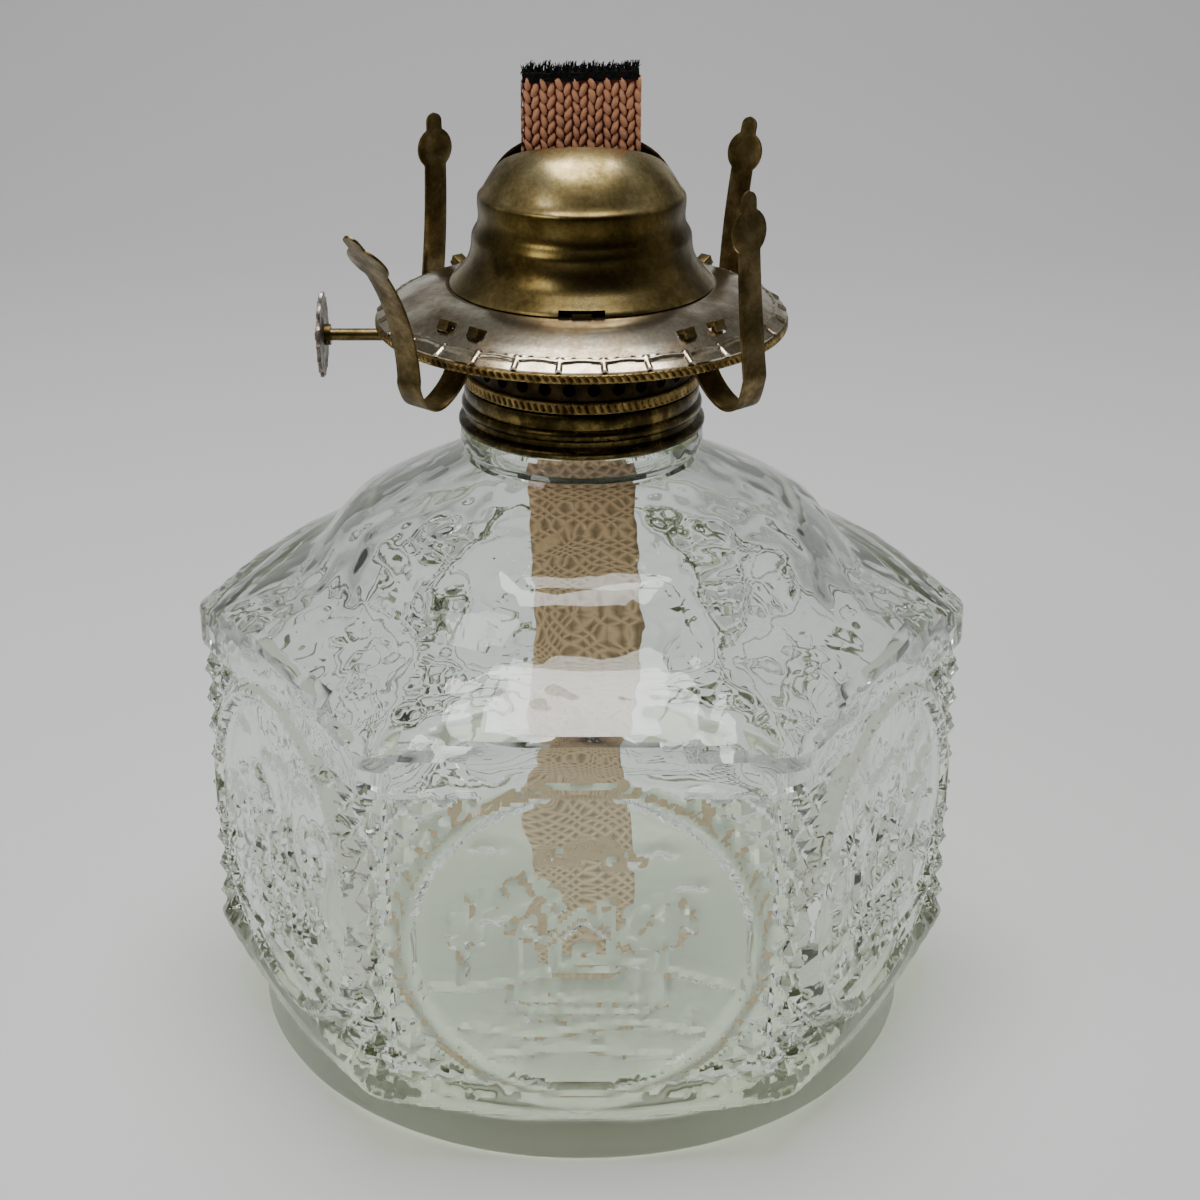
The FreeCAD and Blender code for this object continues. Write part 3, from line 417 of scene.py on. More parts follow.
def country_scene():
    """Strokes of a plain landscape: hills, leafy trees, a cottage, a fence and tufts of grass."""
    rng = random.Random(7)
    strokes = []

    def line(points, width, height):
        for start, end in zip(points, points[1:]):
            strokes.append((start, end, width, height))

    hills = ((31, 1.2, 6.0, 0.0), (43, 3.0, 9.0, 1.0), (26, 0.8, 5.0, 2.0))
    for level, swing, length, shift in hills:
        reach = int(math.sqrt(30.0**2 - (level - 49.5) ** 2)) - 1
        line([(x, level + swing * math.sin(x / length + shift))
              for x in range(-reach, reach + 1, 2)], 0.8, 0.75)
    trees = (((-13, 38), (-12, 52), 7.5), ((15, 37), (14.5, 50), 6.0), ((-22, 42), (-22, 50), 3.5))
    for trunk, top, crown in trees:
        line([trunk, ((trunk[0] + top[0]) / 2 + 0.5, (trunk[1] + top[1]) / 2), top], 1.0, 0.9)
        for _ in range(int(crown * 9)):
            angle, reach = rng.uniform(0, 2 * math.pi), crown * math.sqrt(rng.random())
            x = top[0] + reach * math.cos(angle)
            y = top[1] + crown * 0.7 + 0.85 * reach * math.sin(angle)
            lean = rng.uniform(0, math.pi)
            strokes.append(((x, y), (x + 1.1 * math.cos(lean), y + 1.1 * math.sin(lean)),
                            rng.uniform(0.8, 1.3), rng.uniform(0.5, 1.0)))
    line([(-5, 44), (-5, 51), (0, 55.5), (6, 51), (6, 44), (-5, 44)], 0.8, 0.8)
    line([(-6.5, 50), (0, 56.2), (7.5, 50)], 0.8, 0.8)
    line([(-1, 44), (-1, 48.5), (2, 48.5), (2, 44)], 0.6, 0.6)
    line([(3.5, 54), (3.5, 58), (5, 58), (5, 52.5)], 0.6, 0.7)
    for x in range(-10, 13, 3):
        line([(x, 33.5), (x, 38.5)], 0.7, 0.75)
    for level in (35, 37.2):
        line([(-11, level + 0.3), (0, level), (12, level - 0.2)], 0.6, 0.6)
    for x, y in ((-4, 68), (2, 69.5), (8, 67), (-17, 70), (20, 62), (14, 69)):
        line([(x - 2.5, y), (x, y + 0.8), (x + 2.5, y)], 1.0, 0.5)
    for _ in range(46):
        x, y = rng.uniform(-21, 21), rng.uniform(22.5, 42)
        if math.hypot(x, y - 49.5) < 28:
            line([(x, y), (x + rng.uniform(-0.8, 0.8), y + 1.8)], 0.55, 0.5)
    return strokes


def face_relief(u, z, period):
    """How far the pattern stands from a face: diamonds cut in, a ring and a scene raised."""
    tall = period * 0.93
    leaning = u / period + z / tall
    other = u / period - z / tall
    near = np.minimum(np.abs(leaning - np.round(leaning)), np.abs(other - np.round(other)))
    diamonds = 2.0 * MM * (2 * near - 1)
    band = (np.clip((z - 16 * MM) / (1.2 * MM), 0, 1)
            * np.clip((80 * MM - z) / (1.2 * MM), 0, 1))
    away = np.hypot(u, z - MEDALLION_HEIGHT)
    clear = np.clip((away - 34.6 * MM) / (0.8 * MM), 0, 1)
    height = diamonds * band * clear
    ring = np.clip(1 - ((away - MEDALLION_RADIUS) / (1.4 * MM)) ** 2, 0, 1)
    height = height + 1.2 * MM * np.sqrt(ring)
    scene = np.zeros_like(height)
    inside = away < 30.5 * MM
    for start, end, width, rise in country_scene():
        scene[inside] = np.maximum(
            scene[inside], stroke(u[inside], z[inside], start, end, width, rise)
        )
    return height + 1.25 * scene


FONT_OUTSIDE = [
    (0, 0), (30, 0), (60, 0), (66.2, 0), (67.4, 0.35), (68.2, 1.1), (68.5, 2.2), (68.5, 4.5),
    (68.5, 7.0), (68.6, 8.8), (69.0, 10.0),
    (69.9, 10.9), (71.5, 11.6), (73.5, 12.4), (75.5, 13.3), (77.2, 14.0), (78.4, 14.7),
    (79.2, 15.5), (80.2, 16.6), (83, 18.0),
]
FONT_SHOULDER = [
    (83, 86.2), (80, 87.4), (78.4, 88.1), (76.8, 88.8), (75, 89.6), (73, 90.5), (71, 91.4),
    (69, 92.3), (67, 93.2), (64, 94.6), (60, 96.3), (57, 97.6), (54.9, 98.9), (53.4, 100.6),
    (52.0, 102.6), (50.4, 105.0), (48.9, 107.2), (47.4, 108.8), (45.4, 110.1), (42, 111.9),
    (36, 115.0), (30, 118.0), (26, 120.1), (24.3, 121.0), (23.3, 121.7), (22.9, 122.5),
    (23.2, 123.3), (23.9, 124.2), (24.1, 125.4), (23.9, 126.6), (23.2, 127.3), (21.4, 127.5),
    (21.4, 130), (21.4, 133.6), (20.9, 134.3), (20.2, 134.5),
]
FONT_INSIDE = [
    (19.2, 134.5), (18.4, 134.2), (18.0, 133.4), (18, 128), (18.1, 123), (19.0, 120.2),
    (22, 118.0), (30, 113.6), (38, 109.4), (42.5, 106.8), (46, 102.8), (49, 98.6), (53, 95.2),
    (59, 92.0), (66, 88.6), (72, 85.6), (76, 83.4), (79, 80.6), (83, 76),
    (83, 68), (83, 58), (83, 48), (83, 38), (83, 29), (79, 22), (74, 18.2), (70, 15.8),
    (67.8, 13.8), (66.0, 11.2), (63.8, 8.4), (60.5, 6.8), (55, 6.2), (30, 6.0), (0, 6.0),
]


def glass_font():
    """One closed skin: up the outside from the foot's middle, over the rim and down inside."""
    per_face = DIAMONDS_PER_FACE * STEPS_PER_DIAMOND
    columns = FACES * per_face
    spots, outward, along, length = hexagon_points(per_face)
    period = length / DIAMONDS_PER_FACE
    row_step = period * 0.93 / STEPS_PER_DIAMOND
    body_rows = int((FONT_SHOULDER[0][1] - FONT_OUTSIDE[-1][1]) * MM / row_step)
    first = math.ceil(FONT_OUTSIDE[-1][1] * MM / row_step)
    body = [(83, (first + row) * row_step / MM) for row in range(body_rows)]
    outside = FONT_OUTSIDE + body + FONT_SHOULDER
    inner_spots, *_ = hexagon_points(per_face, inset=4 * MM)

    rows = []
    reach = np.linalg.norm(spots, axis=1)
    heading = spots / reach[:, None]
    for radius, height in outside:
        level = np.full(columns, height * MM)
        r = soft_least(np.full(columns, radius * MM), reach, 0.5 * MM)
        r = np.maximum(r, 0)
        fade = np.clip((radius * MM - reach) / (2.0 * MM), 0, 1)
        lift = face_relief(along, level, period) * fade if fade.max() > 0 else 0 * level
        if 86 < height < 118:
            waves = [noise.noise(Vector((x, y, height * MM)) * 110) for x, y in spots * radius / 83]
            r = r + np.array(waves) * 0.6 * min(height - 86, 118 - height, 4) / 4 * MM
        flat = heading * r[:, None] + outward * lift[:, None]
        rows.append(np.column_stack([flat, level]))
    reach = np.linalg.norm(inner_spots, axis=1)
    heading = inner_spots / reach[:, None]
    for radius, height in FONT_INSIDE:
        level = np.full(columns, height * MM)
        r = np.maximum(soft_least(np.full(columns, radius * MM), reach, 2.2 * MM), 0)
        if radius > 30:
            waves = [noise.noise(Vector((x, y, height * MM)) * 75)
                     for x, y in inner_spots * radius / 80]
            r = r + np.array(waves) * (0.8 if height > 76 else 0.5) * MM
        flat = heading * r[:, None]
        rows.append(np.column_stack([flat, level]))

    deselect()
    bpy.ops.mesh.primitive_grid_add(x_subdivisions=columns, y_subdivisions=len(rows) - 1, size=1)
    piece = named("pressed_glass_font")
    closed = [np.vstack([row, row[:1]]) for row in rows]
    move_points(piece, np.vstack(closed))
    edit()
    bpy.ops.mesh.remove_doubles(threshold=0.002 * MM)
    bpy.ops.mesh.normals_make_consistent(inside=False)
    leave()
    smooth(piece, 28)
    return finish(piece, "font", "clear_glass", pressed_glass(), "glass_font")


# ------------------------------------------------------------------ collar and burner rings
def arc_points(centre, radius, start, end, steps):
    """Points of an arc in the plane of radius and height, in millimetres and degrees."""
    turns = [math.radians(start + (end - start) * i / steps) for i in range(steps + 1)]
    return [(centre[0] + radius * math.cos(t), centre[1] + radius * math.sin(t)) for t in turns]


def millimetres(points):
    return [(r * MM, z * MM) for r, z in points]


def collar():
    """The screw collar: a rolled foot, a bead and a plain band, with a tube for the thread."""
    outside = (
        arc_points((23.3, 128.6), 1.0, -90, 60, 10)
        + [(23.0, 129.9), (22.9, 130.4)]
        + arc_points((22.3, 132.1), 1.4, -65, 62, 12)
        + [(23.0, 133.7), (23.1, 134.1), (23.1, 135.6), (22.9, 136.05), (22.5, 136.2)]
    )
    inside = [(16.2, 136.2), (15.9, 135.9), (15.9, 127.3), (16.4, 127.3), (16.4, 135.6),
              (22.2, 135.6), (22.3, 128.4), (23.3, 127.9), (23.3, 127.6)]
    piece = turned("screw_collar", millimetres(outside + inside), 160)
    smooth(piece, 40)
    return finish(piece, "font", "collar_brass", collar_metal(), "collar")


def rope_milled(piece, ridges, depth, inner, low, high):
    """Presses slanting ridges into a turned piece's outer face between two heights."""
    spots = points_of(piece)
    reach = np.hypot(spots[:, 0], spots[:, 1])
    turn = np.arctan2(spots[:, 1], spots[:, 0])
    share = (spots[:, 2] - low) / (high - low)
    within = (reach > inner) & (share > -0.01) & (share < 1.01)
    edge = np.clip(np.minimum(share, 1 - share) * 6, 0, 1)
    wave = np.abs(np.sin((turn * ridges + share * 3.4) / 2))
    sunk = np.where(within, depth * (1 - wave) ** 1.5 * edge, 0)
    scale = 1 - sunk / np.maximum(reach, MM)
    spots[:, 0] *= scale
    spots[:, 1] *= scale
    move_points(piece, spots)


def burner_base():
    """The burner's threaded foot, with its rope-milled grip resting on the collar."""
    band = [(23.2, 136.75 + 0.17 * i) for i in range(11)]
    outline = (
        [(15.6, 127.6), (15.6, 136.4), (22.8, 136.4), (23.1, 136.55)] + band
        + [(23.1, 138.65), (22.8, 138.8), (15.0, 138.8), (15.0, 127.6), (15.6, 127.6)]
    )
    piece = turned("milled_burner_base", millimetres(outline), 832)
    rope_milled(piece, 104, 0.5 * MM, 23.15 * MM, 136.7 * MM, 138.5 * MM)
    smooth(piece, 50)
    return finish(piece, "burner", "burner_brass", milled_metal(), "burner_base")


def gallery_edge_ring():
    side = [(40.0, 148.3 + 0.12 * i) for i in range(9)]
    outline = (
        [(38.5, 149.2), (38.5, 147.9), (39.5, 147.9), (39.85, 148.05)] + side
        + [(39.85, 149.5), (39.6, 149.7), (39.1, 149.7), (38.5, 149.2)]
    )
    piece = turned("milled_gallery_edge", millimetres(outline), 1376)
    rope_milled(piece, 172, 0.55 * MM, 39.9 * MM, 148.2 * MM, 149.4 * MM)
    smooth(piece, 50)
    return finish(piece, "burner", "burner_brass", milled_metal(), "gallery_edge_ring")


# ------------------------------------------------------------------ gallery plate
PRONG_SPREAD = math.radians(41)
PRONG_FOOT = 33.7 * MM
TAB_SPACING = 7.5 * MM
RIM_CELLS = 30


def prong_heading(side, end):
    """The direction of a prong from the lamp's axis, and the direction along its width."""
    outward = Vector((side * math.sin(PRONG_SPREAD), end * math.cos(PRONG_SPREAD), 0))
    return outward, Vector((-outward.y, outward.x, 0))


def gallery_plate():
    """A shallow dished plate whose rim is stamped with a ring of framed cells."""
    crown = curve_through(
        [(25.9, 0, 155.8), (29.9, 0, 154.85), (33.7, 0, 153.35), (36.9, 0, 151.85)], 8)
    rim = [(37.0 + 0.15 * i, 151.8 - 0.09 * i) for i in range(1, 19)]
    top = [(20.7, 155.8), (23.4, 155.85)] + [(p[0], p[2]) for p in crown] + rim
    under = [(r - 0.1, z - 0.45) for r, z in reversed(top)]
    piece = turned("gallery_plate_stamped", millimetres(top + under + top[:1]), 720)
    spots = points_of(piece)
    reach = np.hypot(spots[:, 0], spots[:, 1]) / MM
    turn = np.arctan2(spots[:, 1], spots[:, 0]) * RIM_CELLS / (2 * math.pi)
    beside = np.abs(turn - np.round(turn)) * 2 * math.pi * reach / RIM_CELLS
    rib = np.clip(1 - (beside / 0.6) ** 2, 0, 1) ** 0.5 * np.clip((reach - 36.9) / 0.4, 0, 1)
    wander = 37.55 + 0.15 * np.cos(turn * 2 * math.pi)
    frame_line = np.clip(1 - ((reach - wander) / 0.4) ** 2, 0, 1) ** 0.5
    cell = np.clip((reach - 38.0) / 0.4, 0, 1)
    spots[:, 2] += (0.42 * np.maximum(rib, 0.8 * frame_line) - 0.1 * cell * (1 - rib)) * MM
    move_points(piece, spots)
    holes = []
    for side in (1, -1):
        for end in (1, -1):
            outward, along = prong_heading(side, end)
            for twin in (1, -1):
                spot = outward * PRONG_FOOT + along * twin * TAB_SPACING / 2
                deselect()
                bpy.ops.mesh.primitive_cylinder_add(
                    vertices=24, radius=1.7 * MM, depth=8 * MM,
                    location=spot + Vector((0, 0, 0.153)),
                    rotation=(0, 0, math.atan2(outward.y, outward.x)))
                bpy.context.object.scale = (0.8, 1.15, 1)
                hole = named("tab_hole_cutter")
                place_in_mesh(hole)
                holes.append(hole)
    cut(piece, joined("tab_hole_cutters", holes))
    deselect()
    bpy.ops.mesh.primitive_cube_add(size=1, location=(0, -25.3 * MM, 0.155))
    slot = named("catch_cutter")
    slot.scale = (4.4 * MM, 1.3 * MM, 6 * MM)
    place_in_mesh(slot)
    cut(piece, slot)
    smooth(piece, 40)
    return finish(piece, "burner", "gallery_nickel", plate_metal(), "gallery_plate")


# ------------------------------------------------------------------ dome
DOME_OUTLINE = [
    (25.5, 156.05), (25.3, 156.5), (24.6, 157.3), (23.6, 158.5), (22.6, 159.7), (21.9, 161.0),
    (21.4, 162.6), (21.2, 164.2), (21.15, 165.1), (21.0, 165.8), (20.6, 166.6), (20.1, 167.4),
    (19.85, 168.4), (19.8, 169.6), (19.9, 170.8), (19.95, 172.0), (19.85, 173.0), (19.5, 173.5),
    (18.9, 174.2), (17.9, 175.9), (16.5, 178.0), (14.8, 180.0), (12.6, 181.6), (9.5, 183.0),
    (6.0, 183.9), (3.0, 184.25), (0, 184.35),
]
SLOT_HALF_LENGTH, SLOT_HALF_WIDTH = 16.5, 7.8


def dome():
    """The spun deflector, with a lens-shaped slot for the flame and a notch for its catch."""
    line = curve_through([(r, 0, z) for r, z in DOME_OUTLINE], 2)
    piece = turned("spun_dome", millimetres([(max(p[0], 0), p[2]) for p in line]), 160)
    with_modifier(piece, "SOLIDIFY", thickness=0.45 * MM, offset=-1)
    radius = (SLOT_HALF_LENGTH**2 + SLOT_HALF_WIDTH**2) / (2 * SLOT_HALF_WIDTH)
    discs = []
    for end in (1, -1):
        deselect()
        bpy.ops.mesh.primitive_cylinder_add(
            vertices=160, radius=radius * MM, depth=24 * MM,
            location=(0, end * (radius - SLOT_HALF_WIDTH) * MM, 0.187))
        disc = named("slot_side")
        place_in_mesh(disc)
        discs.append(disc)
    cut(discs[0], discs[1], operation="INTERSECT")
    cut(piece, discs[0])
    deselect()
    bpy.ops.mesh.primitive_cube_add(size=1, location=(0, -25.5 * MM, 0.1562))
    notch = named("notch_cutter")
    notch.scale = (8.6 * MM, 6 * MM, 1.9 * MM)
    place_in_mesh(notch)
    cut(piece, notch)
    smooth(piece, 35)
    return finish(piece, "dome", "dome_brass", dome_metal(), "dome")


# ------------------------------------------------------------------ prongs
PRONG_STRIP = 0.5 * MM
STRIP_HALF_WIDTH, EAR_RADIUS, NUB_HALF_WIDTH = 2.8 * MM, 4.2 * MM, 1.8 * MM
BEND_RADIUS, EAR_ARM, EAR_SETBACK = 6.8 * MM, 25.3 * MM, 7.2 * MM
PRONG_FOOT_TOP, BEND_HEIGHT = 152.45 * MM, 148.0 * MM
PRONG_LEANS = {
    "prong_front_right": (1, -1, 8, 3),
    "prong_front_left": (-1, -1, -3, -40),
    "prong_back_right": (1, 1, -4, -14),
    "prong_back_left": (-1, 1, 8, -1),
}


def prong_line(bend_lean, tip_lean):
    """The strip's middle line out from its foot, round under the rim and up its arm, as
    radius, height and the length up the arm that its outline is measured by."""
    middle = PRONG_FOOT + BEND_RADIUS
    out = (middle + BEND_RADIUS * math.cos(math.radians(bend_lean)),
           BEND_HEIGHT + BEND_RADIUS * math.sin(math.radians(bend_lean)))
    route = curve_through([
        (PRONG_FOOT, 0, PRONG_FOOT_TOP), (PRONG_FOOT + 0.1 * MM, 0, 149.2 * MM),
        (PRONG_FOOT + 2.0 * MM, 0, 145.2 * MM), (PRONG_FOOT + 5.6 * MM, 0, 142.2 * MM),
        (middle + 2.2 * MM, 0, 141.2 * MM), (middle + 5.2 * MM, 0, 142.6 * MM),
        (out[0], 0, out[1] - 1.8 * MM), (out[0], 0, out[1]),
    ], 6)
    foot_and_bend = [(p[0], p[2], 0) for p in route]
    r, z = out
    arm, step = [], 0.35 * MM
    for count in range(int((EAR_ARM + EAR_SETBACK) / step) + 1):
        place = min(count * step, EAR_ARM)
        lean = math.radians(bend_lean + (tip_lean - bend_lean) * place / EAR_ARM)
        r, z = r - step * math.sin(lean), z + step * math.cos(lean)
        arm.append((r, z, (count + 1) * step))
    return foot_and_bend + arm


def strip_half_width(up):
    """Half the strip's width at a length up its arm: a strip, round ears, then a nub."""
    past = up - EAR_ARM
    tip = EAR_SETBACK - NUB_HALF_WIDTH
    body = STRIP_HALF_WIDTH - 0.25 * MM * min(max(up, 0) / EAR_ARM, 1) if past < 0 else 0
    ears = math.sqrt(max(EAR_RADIUS**2 - past**2, 0)) if abs(past) < EAR_RADIUS else 0
    nub = NUB_HALF_WIDTH if 0 < past < tip else 0
    if past >= tip:
        nub = math.sqrt(max(NUB_HALF_WIDTH**2 - (past - tip) ** 2, 1e-9))
    return max(body, ears, nub)


def prong(label, side, end, bend_lean, tip_lean):
    """A spring strip that grips the chimney, with two bent tabs holding it to the plate."""
    outward, along = prong_heading(side, end)
    line = prong_line(bend_lean, tip_lean)
    across = (-1, -0.5, 0, 0.5, 1)
    spots = [
        outward * r + along * strip_half_width(up) * share + Vector((0, 0, z))
        for r, z, up in line for share in across
    ]
    deselect()
    bpy.ops.mesh.primitive_grid_add(
        x_subdivisions=len(across) - 1, y_subdivisions=len(line) - 1, size=1)
    strip = named(label + "_strip")
    move_points(strip, spots)
    with_modifier(strip, "SOLIDIFY", thickness=PRONG_STRIP, offset=0)
    with_modifier(strip, "BEVEL", width=0.1 * MM, segments=2, angle_limit=math.radians(50))
    tabs = []
    heading = math.atan2(outward.y, outward.x)
    for twin in (1, -1):
        root = outward * PRONG_FOOT + along * twin * TAB_SPACING / 2
        for shift, height, size, tilt in (
            (0.0, 152.6, (0.9, 2.4, 2.6), 0), (-0.5, 154.1, (2.6, 2.5, 1.1), -24),
            (0.5, 153.8, (1.8, 2.5, 1.0), 50),
        ):
            deselect()
            spot = root + outward * shift * MM + Vector((0, 0, height * MM))
            bpy.ops.mesh.primitive_cube_add(
                size=1, location=spot, rotation=(0, math.radians(tilt), heading))
            tab = named("tab")
            tab.scale = [d * MM for d in size]
            place_in_mesh(tab)
            with_modifier(tab, "BEVEL", width=0.18 * MM, segments=3)
            tabs.append(tab)
    deselect()
    bar_spot = outward * PRONG_FOOT + Vector((0, 0, PRONG_FOOT_TOP - 1.1 * MM))
    bpy.ops.mesh.primitive_cube_add(size=1, location=bar_spot, rotation=(0, 0, heading))
    bar = named("foot_bar")
    bar.scale = (0.5 * MM, 9.5 * MM, 2.2 * MM)
    place_in_mesh(bar)
    piece = joined(label + "_spring", [strip, bar] + tabs)
    smooth(piece, 40)
    return finish(piece, label, "prong_brass", spring_metal(), label)


# ------------------------------------------------------------------ wick raiser
def thumbwheel():
    """A thin stamped wheel with a scalloped edge and a domed rivet."""
    shaft_y, shaft_z, reach = 5.6 * MM, 143.5 * MM, 51.2 * MM
    deselect()
    bpy.ops.mesh.primitive_cylinder_add(vertices=256, radius=8.5 * MM, depth=0.8 * MM)
    wheel = named("scalloped_thumbwheel")
    edit(select=False)
    bpy.ops.mesh.select_mode(type="FACE")
    leave()
    for face in wheel.data.polygons:
        face.select = abs(face.normal.z) > 0.9
    bpy.ops.object.mode_set(mode="EDIT")
    for width, rise in ((1.5, 0), (0.5, -0.2), (2.6, 0), (0.5, 0.3)):
        bpy.ops.mesh.inset(thickness=width * MM, depth=rise * MM)
    leave()
    spots = points_of(wheel)
    turn = np.arctan2(spots[:, 1], spots[:, 0])
    scallop = 1 - 0.08 * np.abs(np.sin(turn * 16 / 2)) ** 0.7
    outer = np.hypot(spots[:, 0], spots[:, 1]) > 8.2 * MM
    spots[:, :2] *= np.where(outer, scallop, 1)[:, None]
    move_points(wheel, spots)
    with_modifier(wheel, "BEVEL", width=0.12 * MM, segments=2, angle_limit=math.radians(50))
    wheel.rotation_euler = (0, math.radians(90), 0)
    wheel.location = (-reach, shaft_y, shaft_z)
    place_in_mesh(wheel)
    smooth(wheel, 40)
    return finish(wheel, "raiser", "steel_wheel", wheel_metal(), "thumbwheel")


# ------------------------------------------------------------------ wick
WICK_WIDTH = 22.2 * MM
STITCH_ACROSS, STITCH_UP = 1.48 * MM, 2.35 * MM
CHAR_START, TAIL_TOP, TAIL_BOTTOM = 194.6 * MM, 130.0 * MM, 8.0 * MM


def knitted_wick():
    """The wick above its tube, knitted: slanting stitches over a flat core."""
    base, rows = 160 * MM, 15
    legs = []
    for place, lean in ((0, 17), (1, -17)):
        deselect()
        bpy.ops.mesh.primitive_uv_sphere_add(segments=8, ring_count=6, radius=1)
        leg = named("stitch")
        leg.scale = (0.68 * MM, 0.75 * MM, 1.5 * MM)
        leg.rotation_euler = (math.radians(-8), math.radians(lean), 0)
        leg.location = (place * STITCH_ACROSS, 0, place * 0.5 * STITCH_UP)
        place_in_mesh(leg)
        legs.append(leg)
    side = joined("stitches", legs)
    for count, step in ((8, (2 * STITCH_ACROSS, 0, 0)), (rows, (0, 0, STITCH_UP))):
        with_modifier(side, "ARRAY", count=count, use_relative_offset=False,
                      use_constant_offset=True, constant_offset_displace=step)
    side.location = (-7.5 * STITCH_ACROSS, -0.95 * MM, base)
    place_in_mesh(side)
    with_modifier(side, "MIRROR", use_axis=(False, True, False))
    piece = joined("knitted_stitches", [side])
    spots = points_of(piece)
    rng = np.random.default_rng(3)
    for axis, amount in ((0, 0.09), (1, 0.1), (2, 0.12)):
        spots[:, axis] += rng.normal(0, amount * MM, len(spots)) * 0.5
    wander = np.array([noise.noise(Vector(p) * 260) for p in spots])
    spots[:, 0] += wander * 0.35 * MM - 0.4 * MM
    spots[:, 2] += wander * 0.3 * MM
    spots[:, 0] = np.clip(spots[:, 0], -11.35 * MM, 11.1 * MM)
    spots[:, 1] = np.clip(spots[:, 1], -1.62 * MM, 1.62 * MM)
    spots[:, 2] = np.minimum(spots[:, 2], CHAR_START + 0.6 * MM)
    move_points(piece, spots)
    smooth(piece, 60)
    yarn = cotton("knitted_wick_cotton", "#521e0c", "#8f4a30", "#cf8f68", (0.7, 1.6))
    finish(piece, "wick", "wick_cotton", yarn)
    deselect()
    bpy.ops.mesh.primitive_cube_add(size=1, location=(-0.3 * MM, 0, (TAIL_TOP + CHAR_START) / 2))
    core = named("wick_tape")
    core.scale = (WICK_WIDTH - 1.0 * MM, 1.7 * MM, CHAR_START - TAIL_TOP)
    place_in_mesh(core)
    return piece, finish(core, "wick", "wick_cotton", yarn, "wick")


def charred_top():
    """The burnt end: a black crust with broken fibres standing out of it."""
    rng = random.Random(11)
    deselect()
    bpy.ops.mesh.primitive_cube_add(size=1, location=(-0.3 * MM, 0, 195.2 * MM))
    crust = named("char_crust")
    crust.scale = (21.9 * MM, 2.9 * MM, 1.7 * MM)
    place_in_mesh(crust)
    edit()
    bpy.ops.mesh.subdivide(number_cuts=12)
    leave()
    spots = points_of(crust)
    for spot in spots:
        spot += np.array(noise.noise_vector(Vector(spot) * 900)) * 0.35 * MM
        spot[2] += spot[0] * 0.03
    spots[:, 0] = np.clip(spots[:, 0], -11.05 * MM, 10.9 * MM)
    spots[:, 1] = np.clip(spots[:, 1], -1.5 * MM, 1.5 * MM)
    move_points(crust, spots)
    deselect()
    bpy.ops.mesh.primitive_cone_add(vertices=4, radius1=0.2 * MM, radius2=0.04 * MM, depth=2.2 * MM)
    tuft = named("char_tuft")
    place_in_mesh(tuft)
    edit()
    for _ in range(23):
        bpy.ops.mesh.primitive_cone_add(
            vertices=4, radius1=rng.uniform(0.18, 0.32) * MM, radius2=0.04 * MM,
            depth=rng.uniform(1.2, 3.0) * MM,
            location=(rng.uniform(-0.85, 0.85) * MM, rng.uniform(-1.35, 1.35) * MM, 0),
            rotation=(rng.gauss(0, 0.25), rng.gauss(0, 0.4), 0))
    leave()
    with_modifier(tuft, "ARRAY", count=13, use_relative_offset=False, use_constant_offset=True,
                  constant_offset_displace=(1.65 * MM, 0, 0))
    spots = points_of(tuft)
    for spot in spots:
        drift = noise.noise_vector(Vector((spot[0] * 700, spot[1] * 500, 0)))
        spot[0] += drift.x * 0.5 * MM + drift.y * 0.5 * max(spot[2], 0)
        spot[2] += drift.z * 1.0 * MM + spot[0] * 0.03
    spots += np.array([-10.1, 0, 196.1]) * MM
    move_points(tuft, spots)
    crust = joined("charred_fibres", [crust, tuft])
    spots = points_of(crust)
    spots[:, 0] = np.clip(spots[:, 0], -11.4 * MM, 11.1 * MM)
    spots[:, 2] = np.minimum(spots[:, 2], 198.0 * MM)
    move_points(crust, spots)
    finish(crust, "wick", "char", charred_cotton(), "wick_char")
    return crust


